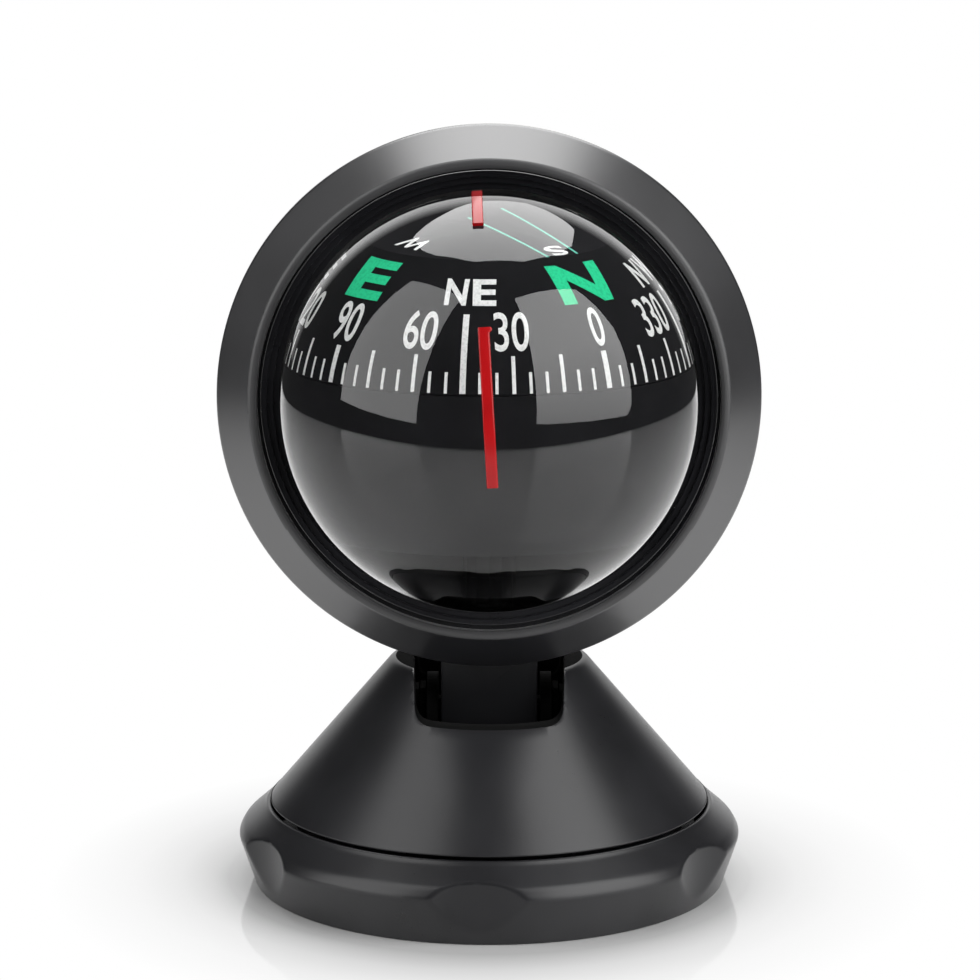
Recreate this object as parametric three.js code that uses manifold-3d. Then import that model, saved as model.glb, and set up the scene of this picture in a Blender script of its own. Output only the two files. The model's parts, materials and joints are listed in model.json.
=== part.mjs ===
// Ball compass on a swivelling cone foot, in millimetres, +Z up.
// The origin is the centre of the flat underside. The dial looks towards -Y.

import * as THREE from 'three';
import { mergeVertices } from 'three/addons/utils/BufferGeometryUtils.js';
import Module from 'manifold-3d';

const wasm = await Module();
wasm.setup();

// Values shared by all pieces
const DEG = Math.PI / 180;
const QUARTER = 90 * DEG;
const FULL = 360 * DEG;
const fit = 0.3;
const overrun = 2;

// Numbers of facets
const wideFacets = 52;
const shellFacets = 36;
const innerFacets = 28;
const smallFacets = 12;
const arcSteps = 6;
const stripSteps = 8;

// Driving sizes of the clear dome and the card
const domeRadius = 18.8;
const domeWall = 1.3;
const fluidGap = 0.95;
const cardWall = 1.1;
const cardHeading = 37.3;

// Driving sizes of the head: how it stands over the foot, and its depth behind the dome centre
const headPitch = 3;
const domeForward = 12.75;
const bezelLift = 1.2;
const lipDepth = 2.4;
const faceFall = 3.5;
const bezelDepth = 5.8;
const bowlDepth = 19.5;
const bowlWall = 1.8;

// Driving sizes of the foot
const gripRadius = 24;
const gripHeight = 4.4;
const footInset = 1.5;
const footRadius = gripRadius - footInset;
const seamInset = 3;
const seamRadius = gripRadius - seamInset;
const seamHeight = 7.5;
const coneRise = 13.8;
const coneTopRadius = 9.2;
const coneWall = 2.2;

// Driving sizes of the tilt hinge
const pinHeight = 16;
const neckHalfWidth = 4.55;
const barrelRadius = 4;
const boltRadius = 1.5;

// Finishes
function finish(color, roughness, metalness = 0, opacity = 1) {
  return new THREE.MeshStandardMaterial({
    color, roughness, metalness, opacity, transparent: opacity < 1,
  });
}
const satinBlack = finish('#232426', 0.5);
const glossBlack = finish('#0d0d0f', 0.12);
const cardBlack = finish('#121214', 0.4);
const clearAcrylic = finish('#e8ecee', 0.03, 0, 0.35);
const lineRed = finish('#c4161f', 0.35);
const darkRubber = finish('#1b1b1c', 0.85);
const foamGrey = finish('#5c5f61', 0.95);
const steel = finish('#9b9ea1', 0.35, 1);
const magnetSteel = finish('#4a4c50', 0.5, 1);
const jewelWhite = finish('#e6e2d8', 0.15);

// Makes a closed mesh clean: shared vertices, no collapsed triangles, faces pointing out
function cleaned(geometry) {
  const bare = geometry.clone();
  for (const name of Object.keys(bare.attributes)) {
    if (name !== 'position') bare.deleteAttribute(name);
  }
  const merged = mergeVertices(bare);
  const old = merged.index.array;
  const triangles = [];
  for (let i = 0; i < old.length; i += 3) {
    const [a, b, c] = [old[i], old[i + 1], old[i + 2]];
    if (a !== b && b !== c && c !== a) triangles.push([a, b, c]);
  }
  const place = merged.attributes.position;
  const [p, q, r] = [new THREE.Vector3(), new THREE.Vector3(), new THREE.Vector3()];
  let volume = 0;
  for (const [a, b, c] of triangles) {
    p.fromBufferAttribute(place, a);
    q.fromBufferAttribute(place, b);
    r.fromBufferAttribute(place, c);
    volume += p.dot(q.cross(r));
  }
  const order = volume < 0 ? ([a, b, c]) => [a, c, b] : (t) => t;
  merged.setIndex(triangles.flatMap(order));
  return merged;
}

function toManifold(geometry) {
  const clean = cleaned(geometry);
  return new wasm.Manifold(new wasm.Mesh({
    numProp: 3,
    vertProperties: new Float32Array(clean.attributes.position.array),
    triVerts: new Uint32Array(clean.index.array),
  }));
}

function fromManifold(manifold) {
  const mesh = manifold.getMesh();
  const geometry = new THREE.BufferGeometry();
  geometry.setAttribute('position', new THREE.BufferAttribute(mesh.vertProperties, mesh.numProp));
  geometry.setIndex(new THREE.BufferAttribute(mesh.triVerts, 1));
  return geometry;
}

function cut(geometry, ...tools) {
  let body = toManifold(geometry);
  for (const tool of tools) body = body.subtract(toManifold(tool));
  return fromManifold(body);
}

function joined(geometry, ...others) {
  let body = toManifold(geometry);
  for (const other of others) body = body.add(toManifold(other));
  return fromManifold(body);
}

function common(geometry, tool) {
  return fromManifold(toManifold(geometry).intersect(toManifold(tool)));
}

// An outline of [radius, height] points turned about +Z; it closes on itself or ends on the axis
function turned(outline, facets) {
  const points = outline.map(([radius, height]) => new THREE.Vector2(radius, height));
  const [first, last] = [outline[0], outline[outline.length - 1]];
  if (first[0] > 0 || last[0] > 0) points.push(points[0].clone());
  return cleaned(new THREE.LatheGeometry(points, facets).rotateX(QUARTER));
}

// A ring, or a disc where inner is 0, between two heights
function ring(inner, outer, bottom, top, facets) {
  return turned([[inner, bottom], [outer, bottom], [outer, top], [inner, top]], facets);
}

function disc(radius, bottom, top, facets) {
  return turned([[0, bottom], [radius, bottom], [radius, top], [0, top]], facets);
}

function box(x0, x1, y0, y1, z0, z1) {
  const geometry = new THREE.BoxGeometry(x1 - x0, y1 - y0, z1 - z0);
  return geometry.translate((x0 + x1) / 2, (y0 + y1) / 2, (z0 + z1) / 2);
}

// Points on a circle about the origin, from one angle to another, in degrees above the radius
function arc(radius, from, to, steps) {
  const points = [];
  for (let i = 0; i <= steps; i += 1) {
    const angle = (from + (to - from) * i / steps) * DEG;
    points.push([radius * Math.cos(angle), radius * Math.sin(angle)]);
  }
  return points;
}

// Places that lie evenly on a circle, as [x, y]
function around(radius, count, firstAngle) {
  return Array.from({ length: count }, (_, i) => {
    const angle = firstAngle * DEG + FULL * i / count;
    return [radius * Math.cos(angle), radius * Math.sin(angle)];
  });
}

// A slotted screw along +Z: its head stands on z = 0 and its shank goes down
function screw(headRadius, headHeight, shankRadius, shankLength) {
  const slotHalfShare = 0.16;
  const slotDepthShare = 0.45;
  const edgeShare = 0.25;
  const edge = headHeight * edgeShare;
  const body = turned([
    [0, -shankLength], [shankRadius, -shankLength], [shankRadius, 0], [headRadius, 0],
    [headRadius, headHeight - edge], [headRadius - edge, headHeight], [0, headHeight],
  ], smallFacets);
  const half = headRadius * slotHalfShare;
  const reach = headRadius + overrun;
  const floor = headHeight * (1 - slotDepthShare);
  return cut(body, box(-half, half, -reach, reach, floor, headHeight + overrun));
}

// The groups are the moving bodies, each at its own joint
const compass = new THREE.Group();
const base = new THREE.Group();
const turret = new THREE.Group();
const head = new THREE.Group();
const cardRocker = new THREE.Group();
const card = new THREE.Group();
compass.add(base, turret, head, cardRocker);
cardRocker.add(card);

function add(group, name, geometry, material) {
  const clean = cleaned(geometry);
  clean.computeVertexNormals();
  const mesh = new THREE.Mesh(clean, material);
  mesh.name = name;
  group.add(mesh);
  return mesh;
}

// Foot: levels of the plates and floors, from the underside up
const padThickness = 1;
const padGap = 0.3;
const footLand = 2.7;
const underRadius = footRadius - footLand;
const plateThickness = 1.6;
const plateTop = padThickness + plateThickness;
const floorThickness = 1.6;
const gripFloorTop = seamHeight - fit - 1.2 * fit;
const turntableThickness = 1.4;
const turntableBottom = gripFloorTop + fit;
const gripFloorBottom = gripFloorTop - floorThickness;
const turntableTop = turntableBottom + turntableThickness;
const turntableInset = 4.3;
const turntableRadius = seamRadius - turntableInset;
const swivelRadius = 1.5;
const swivelHole = swivelRadius + fit;
const swivelHeadRadius = 2.8;
const swivelHeadHeight = 1.3;

// Foot: the round base with six shallow finger scallops in its edge
function gripRing() {
  const crownShare = 0.62;
  const crownDrop = 0.25;
  const edgeRise = 0.5;
  const lipOut = 0.25;
  const lowCrown = gripHeight * (1 - crownShare * crownDrop);
  const outline = [
    [footRadius, 0],
    [gripRadius - crownDrop, lowCrown],
    [gripRadius, gripHeight],
    [gripRadius - crownDrop / 2, gripHeight + edgeRise],
    [gripRadius - crownShare, gripHeight + edgeRise + crownShare],
    [seamRadius + lipOut, seamHeight - fit / 2],
    [turntableRadius + fit, seamHeight - fit / 2],
    [turntableRadius + fit, gripFloorTop],
    [swivelHole, gripFloorTop],
    [swivelHole, gripFloorBottom],
    [underRadius, gripFloorBottom],
    [underRadius, 0],
  ];
  return turned(outline, wideFacets);
}

const scallopCount = 6;
const scallopDepth = 1.1;
const scallopCurve = 15;
const scallopTurn = -92.5;
const scallopFacets = 36;
function scallopCutters() {
  const distance = gripRadius - scallopDepth + scallopCurve;
  return around(distance, scallopCount, scallopTurn).map(([x, y]) =>
    disc(scallopCurve, -overrun, seamHeight + overrun, scallopFacets).translate(x, y, 0));
}

const plateScrewCount = 3;
const plateScrewCircle = 13;
const plateScrewTurn = 90;
const plateScrewRadius = 0.9;
const plateScrewHeadRadius = 1.9;
const plateScrewHeadHeight = 0.9;
const plateBossRadius = 2.6;
const plateScrewTop = gripFloorTop - fit * 2;
const plateScrewPlaces = around(plateScrewCircle, plateScrewCount, plateScrewTurn);

function gripWithBosses() {
  const bosses = plateScrewPlaces.map(([x, y]) =>
    disc(plateBossRadius, plateTop, gripFloorBottom + floorThickness / 2, smallFacets)
      .translate(x, y, 0));
  const pilots = plateScrewPlaces.map(([x, y]) =>
    disc(plateScrewRadius + fit / 2, 0, plateScrewTop + fit, smallFacets).translate(x, y, 0));
  return cut(joined(gripRing(), ...bosses), ...pilots, ...scallopCutters());
}
add(base, 'grip_ring', gripWithBosses(), satinBlack);

const plateRadius = underRadius - padGap;
const recessDepth = plateScrewHeadHeight + fit / 2;
function basePlate() {
  const holes = plateScrewPlaces.map(([x, y]) => turned([
    [0, padThickness - overrun],
    [plateScrewHeadRadius + fit, padThickness - overrun],
    [plateScrewHeadRadius + fit, padThickness + recessDepth],
    [plateScrewRadius + fit, padThickness + recessDepth],
    [plateScrewRadius + fit, plateTop + overrun],
    [0, plateTop + overrun],
  ], smallFacets).translate(x, y, 0));
  return cut(disc(plateRadius, padThickness, plateTop, shellFacets), ...holes);
}
add(base, 'base_plate', basePlate(), satinBlack);
add(base, 'adhesive_pad', disc(plateRadius - padGap, 0, padThickness, shellFacets), foamGrey);

plateScrewPlaces.forEach(([x, y], i) => {
  const headTop = padThickness + recessDepth - fit / 2;
  const turnedOver = screw(
    plateScrewHeadRadius, plateScrewHeadHeight - fit / 2, plateScrewRadius, plateScrewTop - headTop,
  ).rotateX(2 * QUARTER);
  add(base, `plate_screw_${i + 1}`, turnedOver.translate(x, y, headTop), steel);
});

// Foot: the swivel screw that holds the cone down on the base
const swivelWasherRadius = 3.4;
const swivelWasherThickness = 0.6;
const swivelNutRadius = 3;
const swivelNutHeight = 1.8;
const swivelWasherBottom = turntableTop + fit / 2;
const swivelNutBottom = swivelWasherBottom + swivelWasherThickness + fit / 2;
const swivelTail = 0.4;
const swivelTop = swivelNutBottom + swivelNutHeight + swivelTail;
const nutSides = 6;
const swivelHeadTop = gripFloorBottom - fit / 2;
add(base, 'swivel_screw', screw(
  swivelHeadRadius, swivelHeadHeight, swivelRadius, swivelTop - swivelHeadTop,
).rotateX(2 * QUARTER).translate(0, 0, swivelHeadTop), steel);
add(base, 'swivel_washer', ring(
  swivelRadius + fit / 2, swivelWasherRadius,
  swivelWasherBottom, swivelWasherBottom + swivelWasherThickness, smallFacets,
), steel);
add(base, 'swivel_nut', cut(
  disc(swivelNutRadius, swivelNutBottom, swivelNutBottom + swivelNutHeight, nutSides),
  disc(swivelRadius + fit / 2, 0, swivelTop + overrun, smallFacets),
), steel);

// Turret: the cone on its turntable, with a slot across the top for the neck
const coneBottom = seamHeight + fit / 2;
const coneTop = coneBottom + coneRise;
const coneSlope = (seamRadius - coneTopRadius) / coneRise;
const slotHalfWidth = 7.2;
const slotNarrowing = 0.35;
const slotDrop = 4.1;
const slotCorner = 1.5;
const slotCornerSteps = 5;
const slotFloor = coneTop - slotDrop;
const slotSillDrop = 1.55;
const slotSill = coneTop - slotSillDrop;
const slotSillPlace = 8.45;

function coneRadiusAt(height) {
  return seamRadius - (height - coneBottom) * coneSlope;
}

function coneShell() {
  const innerFloor = coneRadiusAt(turntableTop) - coneWall;
  return turned([
    [seamRadius, coneBottom],
    [coneTopRadius, coneTop],
    [coneTopRadius - coneWall, coneTop],
    [innerFloor, turntableTop],
    [swivelHole, turntableTop],
    [swivelHole, turntableBottom],
    [turntableRadius, turntableBottom],
    [turntableRadius, coneBottom],
  ], wideFacets);
}

// The slot seen from the front: round bottom corners, sides that open a little upwards
function slotCutter(floor, front, back) {
  const shape = new THREE.Shape();
  const top = coneTop + overrun;
  const lean = slotNarrowing / (top - slotFloor - slotCorner);
  const high = slotHalfWidth - (top - floor - slotCorner) * lean;
  const low = slotHalfWidth - Math.min(slotNarrowing, (top - floor) * lean);
  shape.moveTo(-slotHalfWidth, top);
  shape.lineTo(-high, floor + slotCorner);
  shape.quadraticCurveTo(-low, floor, slotCorner - low, floor);
  shape.lineTo(low - slotCorner, floor);
  shape.quadraticCurveTo(low, floor, high, floor + slotCorner);
  shape.lineTo(slotHalfWidth, top);
  const geometry = new THREE.ExtrudeGeometry(shape, {
    depth: back - front, bevelEnabled: false, curveSegments: slotCornerSteps,
  });
  return geometry.rotateX(QUARTER).translate(0, back, 0);
}

const bracketScrewRadius = 0.9;
const bracketScrewPlace = 9.2;
const bracketScrewHoleBottom = turntableBottom - overrun;
function coneHousing() {
  const holes = [-bracketScrewPlace, bracketScrewPlace].map((x) =>
    disc(bracketScrewRadius + fit / 2, bracketScrewHoleBottom, turntableTop + overrun, smallFacets)
      .translate(x, 0, 0));
  const end = seamRadius + overrun;
  const well = slotCutter(slotFloor, -end, slotSillPlace);
  const overSill = slotCutter(slotSill, slotSillPlace - overrun, end);
  return cut(coneShell(), well, overSill, ...holes);
}
add(turret, 'cone_housing', coneHousing(), satinBlack);

// Turret: the U bracket inside the cone, whose two ears hold the hinge bolt
const bracketThickness = 1.3;
const bracketHalfLength = 11.6;
const bracketRim = 1.3;
const earThickness = 1.05;
const earRadius = 3.7;
const earInner = neckHalfWidth + fit;
const earOuter = earInner + earThickness;
const bracketTop = turntableTop + bracketThickness;
const bracketWell = swivelWasherRadius + 2 * fit;
const bracketHalfDepth = bracketWell + bracketRim;

function ear(side) {
  const shape = new THREE.Shape();
  shape.moveTo(-earRadius, turntableTop + bracketThickness / 2);
  shape.lineTo(earRadius, turntableTop + bracketThickness / 2);
  shape.lineTo(earRadius, pinHeight);
  shape.absarc(0, pinHeight, earRadius, 0, Math.PI, false);
  const bore = new THREE.Path();
  bore.absarc(0, pinHeight, boltRadius + fit / 2, 0, FULL, true);
  shape.holes.push(bore);
  const flat = new THREE.ExtrudeGeometry(shape, {
    depth: earThickness, bevelEnabled: false, curveSegments: smallFacets,
  });
  const upright = flat.rotateX(QUARTER).rotateZ(QUARTER);
  return upright.translate(side > 0 ? earInner : -earOuter, 0, 0);
}

function hingeBracket() {
  const plate = box(
    -bracketHalfLength, bracketHalfLength, -bracketHalfDepth, bracketHalfDepth,
    turntableTop, bracketTop,
  );
  const well = disc(bracketWell, turntableTop - overrun, bracketTop + overrun, smallFacets);
  const holes = [-bracketScrewPlace, bracketScrewPlace].map((x) =>
    disc(bracketScrewRadius + fit / 2, turntableTop - overrun, bracketTop + overrun, smallFacets)
      .translate(x, 0, 0));
  return cut(joined(cut(plate, well), ear(-1), ear(1)), ...holes);
}
add(turret, 'hinge_bracket', hingeBracket(), steel);

const bracketScrewHeadRadius = 1.7;
const bracketScrewHeadHeight = 1.1;
[-bracketScrewPlace, bracketScrewPlace].forEach((x, i) => {
  const bottom = turntableBottom + fit / 2;
  const seat = bracketTop + fit / 2;
  add(turret, `bracket_screw_${i + 1}`, screw(
    bracketScrewHeadRadius, bracketScrewHeadHeight, bracketScrewRadius, seat - bottom,
  ).translate(x, 0, seat), steel);
});

// Turret: the hinge bolt lies along X through both ears and the neck
const hingeWasherRadius = 2.9;
const hingeWasherThickness = 0.5;
const boltHeadRadius = 2.6;
const boltHeadHeight = 1.6;
const hingeNutRadius = 2.8;
const hingeNutHeight = 1.6;
const boltTail = 0.3;
const hingeWasherInner = earOuter + fit / 2;
const hingeClampInner = hingeWasherInner + hingeWasherThickness + fit / 2;

// Turns a piece made along +Z so that it lies along +X on the hinge line
function onHinge(geometry) {
  return geometry.rotateY(QUARTER).translate(0, 0, pinHeight);
}

function hingeWasher(side) {
  const inner = side * hingeWasherInner;
  const outer = side * (hingeWasherInner + hingeWasherThickness);
  return onHinge(ring(
    boltRadius + fit / 2, hingeWasherRadius,
    Math.min(inner, outer), Math.max(inner, outer), smallFacets,
  ));
}
add(turret, 'hinge_washer_left', hingeWasher(-1), steel);
add(turret, 'hinge_washer_right', hingeWasher(1), steel);
const boltEnd = hingeClampInner + hingeNutHeight + boltTail;
add(turret, 'hinge_bolt', onHinge(screw(
  boltHeadRadius, boltHeadHeight, boltRadius, hingeClampInner + boltEnd,
).translate(0, 0, hingeClampInner)), steel);
add(turret, 'hinge_nut', onHinge(cut(
  disc(hingeNutRadius, -hingeClampInner - hingeNutHeight, -hingeClampInner, nutSides),
  disc(boltRadius + fit / 2, -boltEnd - overrun, 0, smallFacets),
)), steel);

// Head: its frame stands at the dome centre, with +Z out through the dome and +Y up the face.
// Depths are measured back from the dome centre, so a height in this frame is minus a depth.
const seatGap = 0.3;
const seatWidth = 1.7;
const lipWidth = 0.9;
const faceWidth = 3;
const seatInner = domeRadius + seatGap;
const seatOuter = seatInner + seatWidth;
const lipInner = seatOuter + fit;
const lipOuter = lipInner + lipWidth;
const rimRadius = lipOuter + faceWidth;
const domeHeight = coneTop + bezelLift + rimRadius;

head.position.set(0, -domeForward, domeHeight);
head.rotation.x = QUARTER - headPitch * DEG;
head.updateMatrixWorld(true);
const worldToHead = head.matrixWorld.clone().invert();

// Head: the stack of flanges between the seat ring and the ledge of the rear housing
const footThickness = 0.4;
const footWidth = 0.2;
const seatDepth = lipDepth + 1.2 * fit + seatGap;
const footBack = seatDepth + 3 * footThickness;
const flangeWidth = 1.5;
const flangeThickness = 1.3;
const gasketThickness = 0.6;
const flangeRadius = domeRadius + flangeWidth;
const domeFlangeFront = footBack + fit;
const domeFlangeBack = domeFlangeFront + flangeThickness;
const gasketFront = domeFlangeBack + fit;
const gasketBack = gasketFront + gasketThickness;
const cupFlangeFront = gasketBack + fit;
const cupFlangeBack = cupFlangeFront + flangeThickness;
const ledgeFront = cupFlangeBack + fit;
const spigotInner = flangeRadius + fit;
const spigotWall = 0.7;
const spigotOuter = spigotInner + spigotWall;
const bezelBore = spigotOuter + fit;
const lipBack = seatDepth + footThickness;
const bezelBack = Math.max(lipDepth + bezelDepth, ledgeFront);
const skirtRadius = rimRadius - fit;

// Head: the front bezel, with a flat lip inside, a sloping face and a rounded rim
function frontBezel() {
  const lipRound = 0.2;
  const rimRound = 0.45;
  const rimDepth = lipDepth + faceFall;
  return turned([
    [lipInner, -lipBack],
    [lipInner, -lipDepth - lipRound],
    [lipInner + lipRound, -lipDepth],
    [lipOuter - lipRound, -lipDepth],
    [lipOuter, -lipDepth - lipRound / 2],
    [rimRadius - rimRound, -rimDepth + rimRound],
    [rimRadius - rimRound / 4, -rimDepth],
    [rimRadius, -rimDepth - rimRound],
    [rimRadius - rimRound / 4, -rimDepth - 2 * rimRound],
    [skirtRadius, -bezelBack],
    [bezelBore, -bezelBack],
    [bezelBore, -lipBack],
  ], wideFacets);
}

const housingScrewCount = 3;
const housingScrewTurn = 90;
const housingScrewRadius = 0.8;
const housingScrewHeadRadius = 1.5;
const housingScrewHeadHeight = 1.1;
const housingScrewBite = 2.4;
const housingScrewTip = bezelBack - housingScrewBite;
const housingScrewCircle = (bezelBore + skirtRadius) / 2;
const housingScrewPlaces = around(housingScrewCircle, housingScrewCount, housingScrewTurn);
const ledgeThickness = 3.2;
const ledgeBack = ledgeFront + ledgeThickness;
const housingFront = bezelBack + fit;
const screwSeat = housingFront + ledgeThickness / 2;

function screwHoles(radius, front, back) {
  return housingScrewPlaces.map(([x, y]) =>
    disc(radius, -back, -front, smallFacets).translate(x, y, 0));
}
add(head, 'front_bezel', cut(
  frontBezel(), ...screwHoles(housingScrewRadius + fit / 2, housingScrewTip - fit, bezelBack + overrun),
), satinBlack);

// Head: the stepped ring round the dome, trapped under the bezel's lip
function seatRing() {
  const stepWidth = seatWidth / 3;
  const stepFall = footThickness;
  return turned([
    [seatInner, -footBack],
    [seatInner, -seatDepth - 2 * stepFall],
    [seatInner + stepWidth, -seatDepth - 2 * stepFall],
    [seatInner + stepWidth, -seatDepth - stepFall],
    [seatInner + 2 * stepWidth, -seatDepth - stepFall],
    [seatInner + 2 * stepWidth, -seatDepth],
    [seatOuter, -seatDepth],
    [seatOuter, -lipBack - fit],
    [lipInner + footWidth, -lipBack - fit],
    [lipInner + footWidth, -footBack],
  ], shellFacets);
}
add(head, 'seat_ring', seatRing(), glossBlack);

// Head: the clear dome is a half ball with a short collar and a flange
const domeInner = domeRadius - domeWall;
function capsuleDome() {
  return turned([
    ...arc(domeRadius, 90, 0, arcSteps),
    [domeRadius, -domeFlangeFront],
    [flangeRadius, -domeFlangeFront],
    [flangeRadius, -domeFlangeBack],
    [domeInner, -domeFlangeBack],
    ...arc(domeInner, 0, 90, arcSteps),
  ].map(([r, z]) => [Math.max(r, 0), z]), shellFacets);
}
add(head, 'capsule_dome', capsuleDome(), clearAcrylic);
add(head, 'capsule_gasket', ring(
  domeRadius, flangeRadius, -gasketBack, -gasketFront, innerFacets,
), darkRubber);

// Head: the black cup that closes the capsule from behind, with its filler hole
const cupWall = 1.2;
const cupOuter = domeInner + cupWall;
const fillerRadius = 2;
const fillerHeadRadius = 3.2;
const fillerHeadThickness = 1.1;
function capsuleCup() {
  const innerStart = -Math.asin(cupFlangeFront / domeInner) / DEG;
  const outerStart = -Math.asin(cupFlangeBack / cupOuter) / DEG;
  const bowl = turned([
    ...arc(domeInner, -90, innerStart, arcSteps),
    [flangeRadius, -cupFlangeFront],
    [flangeRadius, -cupFlangeBack],
    ...arc(cupOuter, outerStart, -90, arcSteps),
  ].map(([r, z]) => [Math.max(r, 0), z]), innerFacets);
  return cut(bowl, disc(fillerRadius + fit, -cupOuter - overrun, -cupFlangeBack, smallFacets));
}
add(head, 'capsule_cup', capsuleCup(), cardBlack);
add(head, 'filler_plug', turned([
  [0, -cupOuter - fit - fillerHeadThickness],
  [fillerHeadRadius, -cupOuter - fit - fillerHeadThickness],
  [fillerHeadRadius, -cupOuter - fit],
  [fillerRadius, -cupOuter - fit],
  [fillerRadius, -domeInner],
  [0, -domeInner],
], smallFacets), darkRubber);

// Head: the rear housing is a bowl with a ledge for the capsule and the neck moulded on
function bowlArc(wall, from, to) {
  const radius = skirtRadius - fit / 2 - wall;
  const depth = bowlDepth - wall;
  return arc(1, from, to, arcSteps).map(([r, d]) =>
    [Math.max(r, 0) * radius, -housingFront - d * depth]);
}

function housingShell() {
  const ledgeAngle = Math.asin((ledgeBack - housingFront) / (bowlDepth - bowlWall)) / DEG;
  const bore = spigotInner - flangeWidth;
  return turned([
    ...bowlArc(0, 90, 0),
    [spigotOuter, -housingFront],
    [spigotOuter, -cupFlangeFront],
    [spigotInner, -cupFlangeFront],
    [spigotInner, -ledgeFront],
    [bore, -ledgeFront],
    [bore, -ledgeBack],
    ...bowlArc(bowlWall, ledgeAngle, 90),
  ], shellFacets);
}

// The neck stands upright at rest, so it is made level and then set in the head's frame
function neck() {
  const block = box(
    -neckHalfWidth, neckHalfWidth, -barrelRadius, barrelRadius, pinHeight, domeHeight,
  );
  const barrel = onHinge(disc(barrelRadius, -neckHalfWidth, neckHalfWidth, 2 * smallFacets));
  const placed = joined(block, barrel).applyMatrix4(worldToHead);
  const inside = bowlArc(bowlWall / 2, 90, 0);
  const mouthRadius = inside[inside.length - 1][0];
  return cut(placed, turned([...inside, [mouthRadius, 0], [0, 0]], shellFacets));
}

function boltHole() {
  const reach = neckHalfWidth + overrun;
  return onHinge(disc(boltRadius + fit / 2, -reach, reach, smallFacets))
    .applyMatrix4(worldToHead);
}
add(head, 'rear_housing', cut(
  joined(housingShell(), neck()),
  boltHole(),
  ...screwHoles(housingScrewRadius + fit / 2, 0, screwSeat + overrun),
  ...screwHoles(housingScrewHeadRadius + fit, screwSeat, housingFront + bowlDepth),
), satinBlack);

housingScrewPlaces.forEach(([x, y], i) => {
  const seat = screwSeat + fit / 2;
  add(head, `housing_screw_${i + 1}`, screw(
    housingScrewHeadRadius, housingScrewHeadHeight, housingScrewRadius, seat - housingScrewTip,
  ).rotateX(2 * QUARTER).translate(x, y, -seat), steel);
});

// Head: the post leans back from the pivot to the wall of the cup, and carries the steel pin
const postLean = 28;
const postRadius = 1.4;
const pinRadius = 0.5;
const pinTip = 0.35;
const pinTaper = 1.5;
const pinLength = 4;
function leaning(geometry) {
  return geometry.rotateX(QUARTER + postLean * DEG);
}
add(head, 'pivot_pin', leaning(turned([
  [0, pinTip], [pinRadius, pinTip + pinTaper], [pinRadius, pinTip + pinLength],
  [0, pinTip + pinLength],
], smallFacets)), steel);
add(head, 'pivot_post', common(
  leaning(disc(postRadius, pinTip + pinLength + fit, domeRadius, smallFacets)),
  turned(arc(domeInner - fit, -90, 90, 2 * arcSteps).map(([r, z]) => [Math.max(r, 0), z]), innerFacets),
), cardBlack);

// Head: two red index strips lie on the dome's outside, on one line rolled a little to the left.
// The top one runs on straight back, to just before the stepped ring.
const stripWidth = 1;
const stripThickness = 0.3;
const stripRollAngle = 3.3;
const stripInner = domeRadius + fit;
const stripOuter = stripInner + stripThickness;
const frontLineTopAngle = 24.3;
const frontLineBottomAngle = -16.1;
const topLineFrontAngle = 60.3;
const topLineBack = seatDepth + footThickness - fit;
function strip(from, to, tail) {
  const shape = new THREE.Shape();
  const outer = arc(stripOuter, from, to, stripSteps);
  const inner = arc(stripInner, to, from, stripSteps);
  outer.forEach(([d, y], i) => (i ? shape.lineTo(d, y) : shape.moveTo(d, y)));
  if (tail > 0) {
    shape.lineTo(-tail, stripOuter);
    shape.lineTo(-tail, stripInner);
  }
  inner.forEach(([d, y]) => shape.lineTo(d, y));
  const flat = new THREE.ExtrudeGeometry(shape, { depth: stripWidth, bevelEnabled: false });
  return flat.translate(0, 0, -stripWidth / 2).rotateY(-QUARTER).rotateZ(stripRollAngle * DEG);
}
add(head, 'lubber_line_front', strip(frontLineBottomAngle, frontLineTopAngle, 0), lineRed);
add(head, 'lubber_line_top', strip(topLineFrontAngle, 90, topLineBack), lineRed);

// Card: it stands level on the pivot, whatever the tilt of the head
const cardRadius = domeInner - fluidGap;
const partingLatitude = 11.2;
const skirtLatitude = -40;
const partingHeight = cardRadius * Math.sin(partingLatitude * DEG);
const crownRadius = 9.8;
const crownLatitude = Math.acos(crownRadius / cardRadius) / DEG;
const crownHeight = cardRadius * Math.sin(crownLatitude * DEG);
const jewelRadius = 2.4;
const jewelTop = 1;
const jewelBottom = -1.1;
const jewelOpening = 58;
const webThickness = 1.2;
const webBottom = jewelTop + fit;
const webTop = webBottom + webThickness;
cardRocker.position.set(0, -domeForward, domeHeight);
card.rotation.z = cardHeading * DEG;

const jewelMouth = -jewelBottom * Math.tan(jewelOpening * DEG);
add(cardRocker, 'jewel_cup', turned([
  [0, 0], [jewelMouth, jewelBottom], [jewelRadius, jewelBottom], [jewelRadius, jewelTop],
  [0, jewelTop],
], smallFacets), jewelWhite);

// The card's crown is flat: the two lines along its axis and the small letters lie on it
function cardDome() {
  const inner = cardRadius - cardWall;
  const innerStart = Math.asin(partingHeight / inner) / DEG;
  const innerTop = crownHeight - cardWall;
  const innerEnd = Math.asin(innerTop / inner) / DEG;
  return turned([
    ...arc(cardRadius, partingLatitude, crownLatitude, arcSteps),
    [0, crownHeight],
    [0, innerTop],
    ...arc(inner, innerEnd, innerStart, arcSteps),
  ], innerFacets);
}
add(card, 'card_dome', cardDome(), cardBlack);

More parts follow.
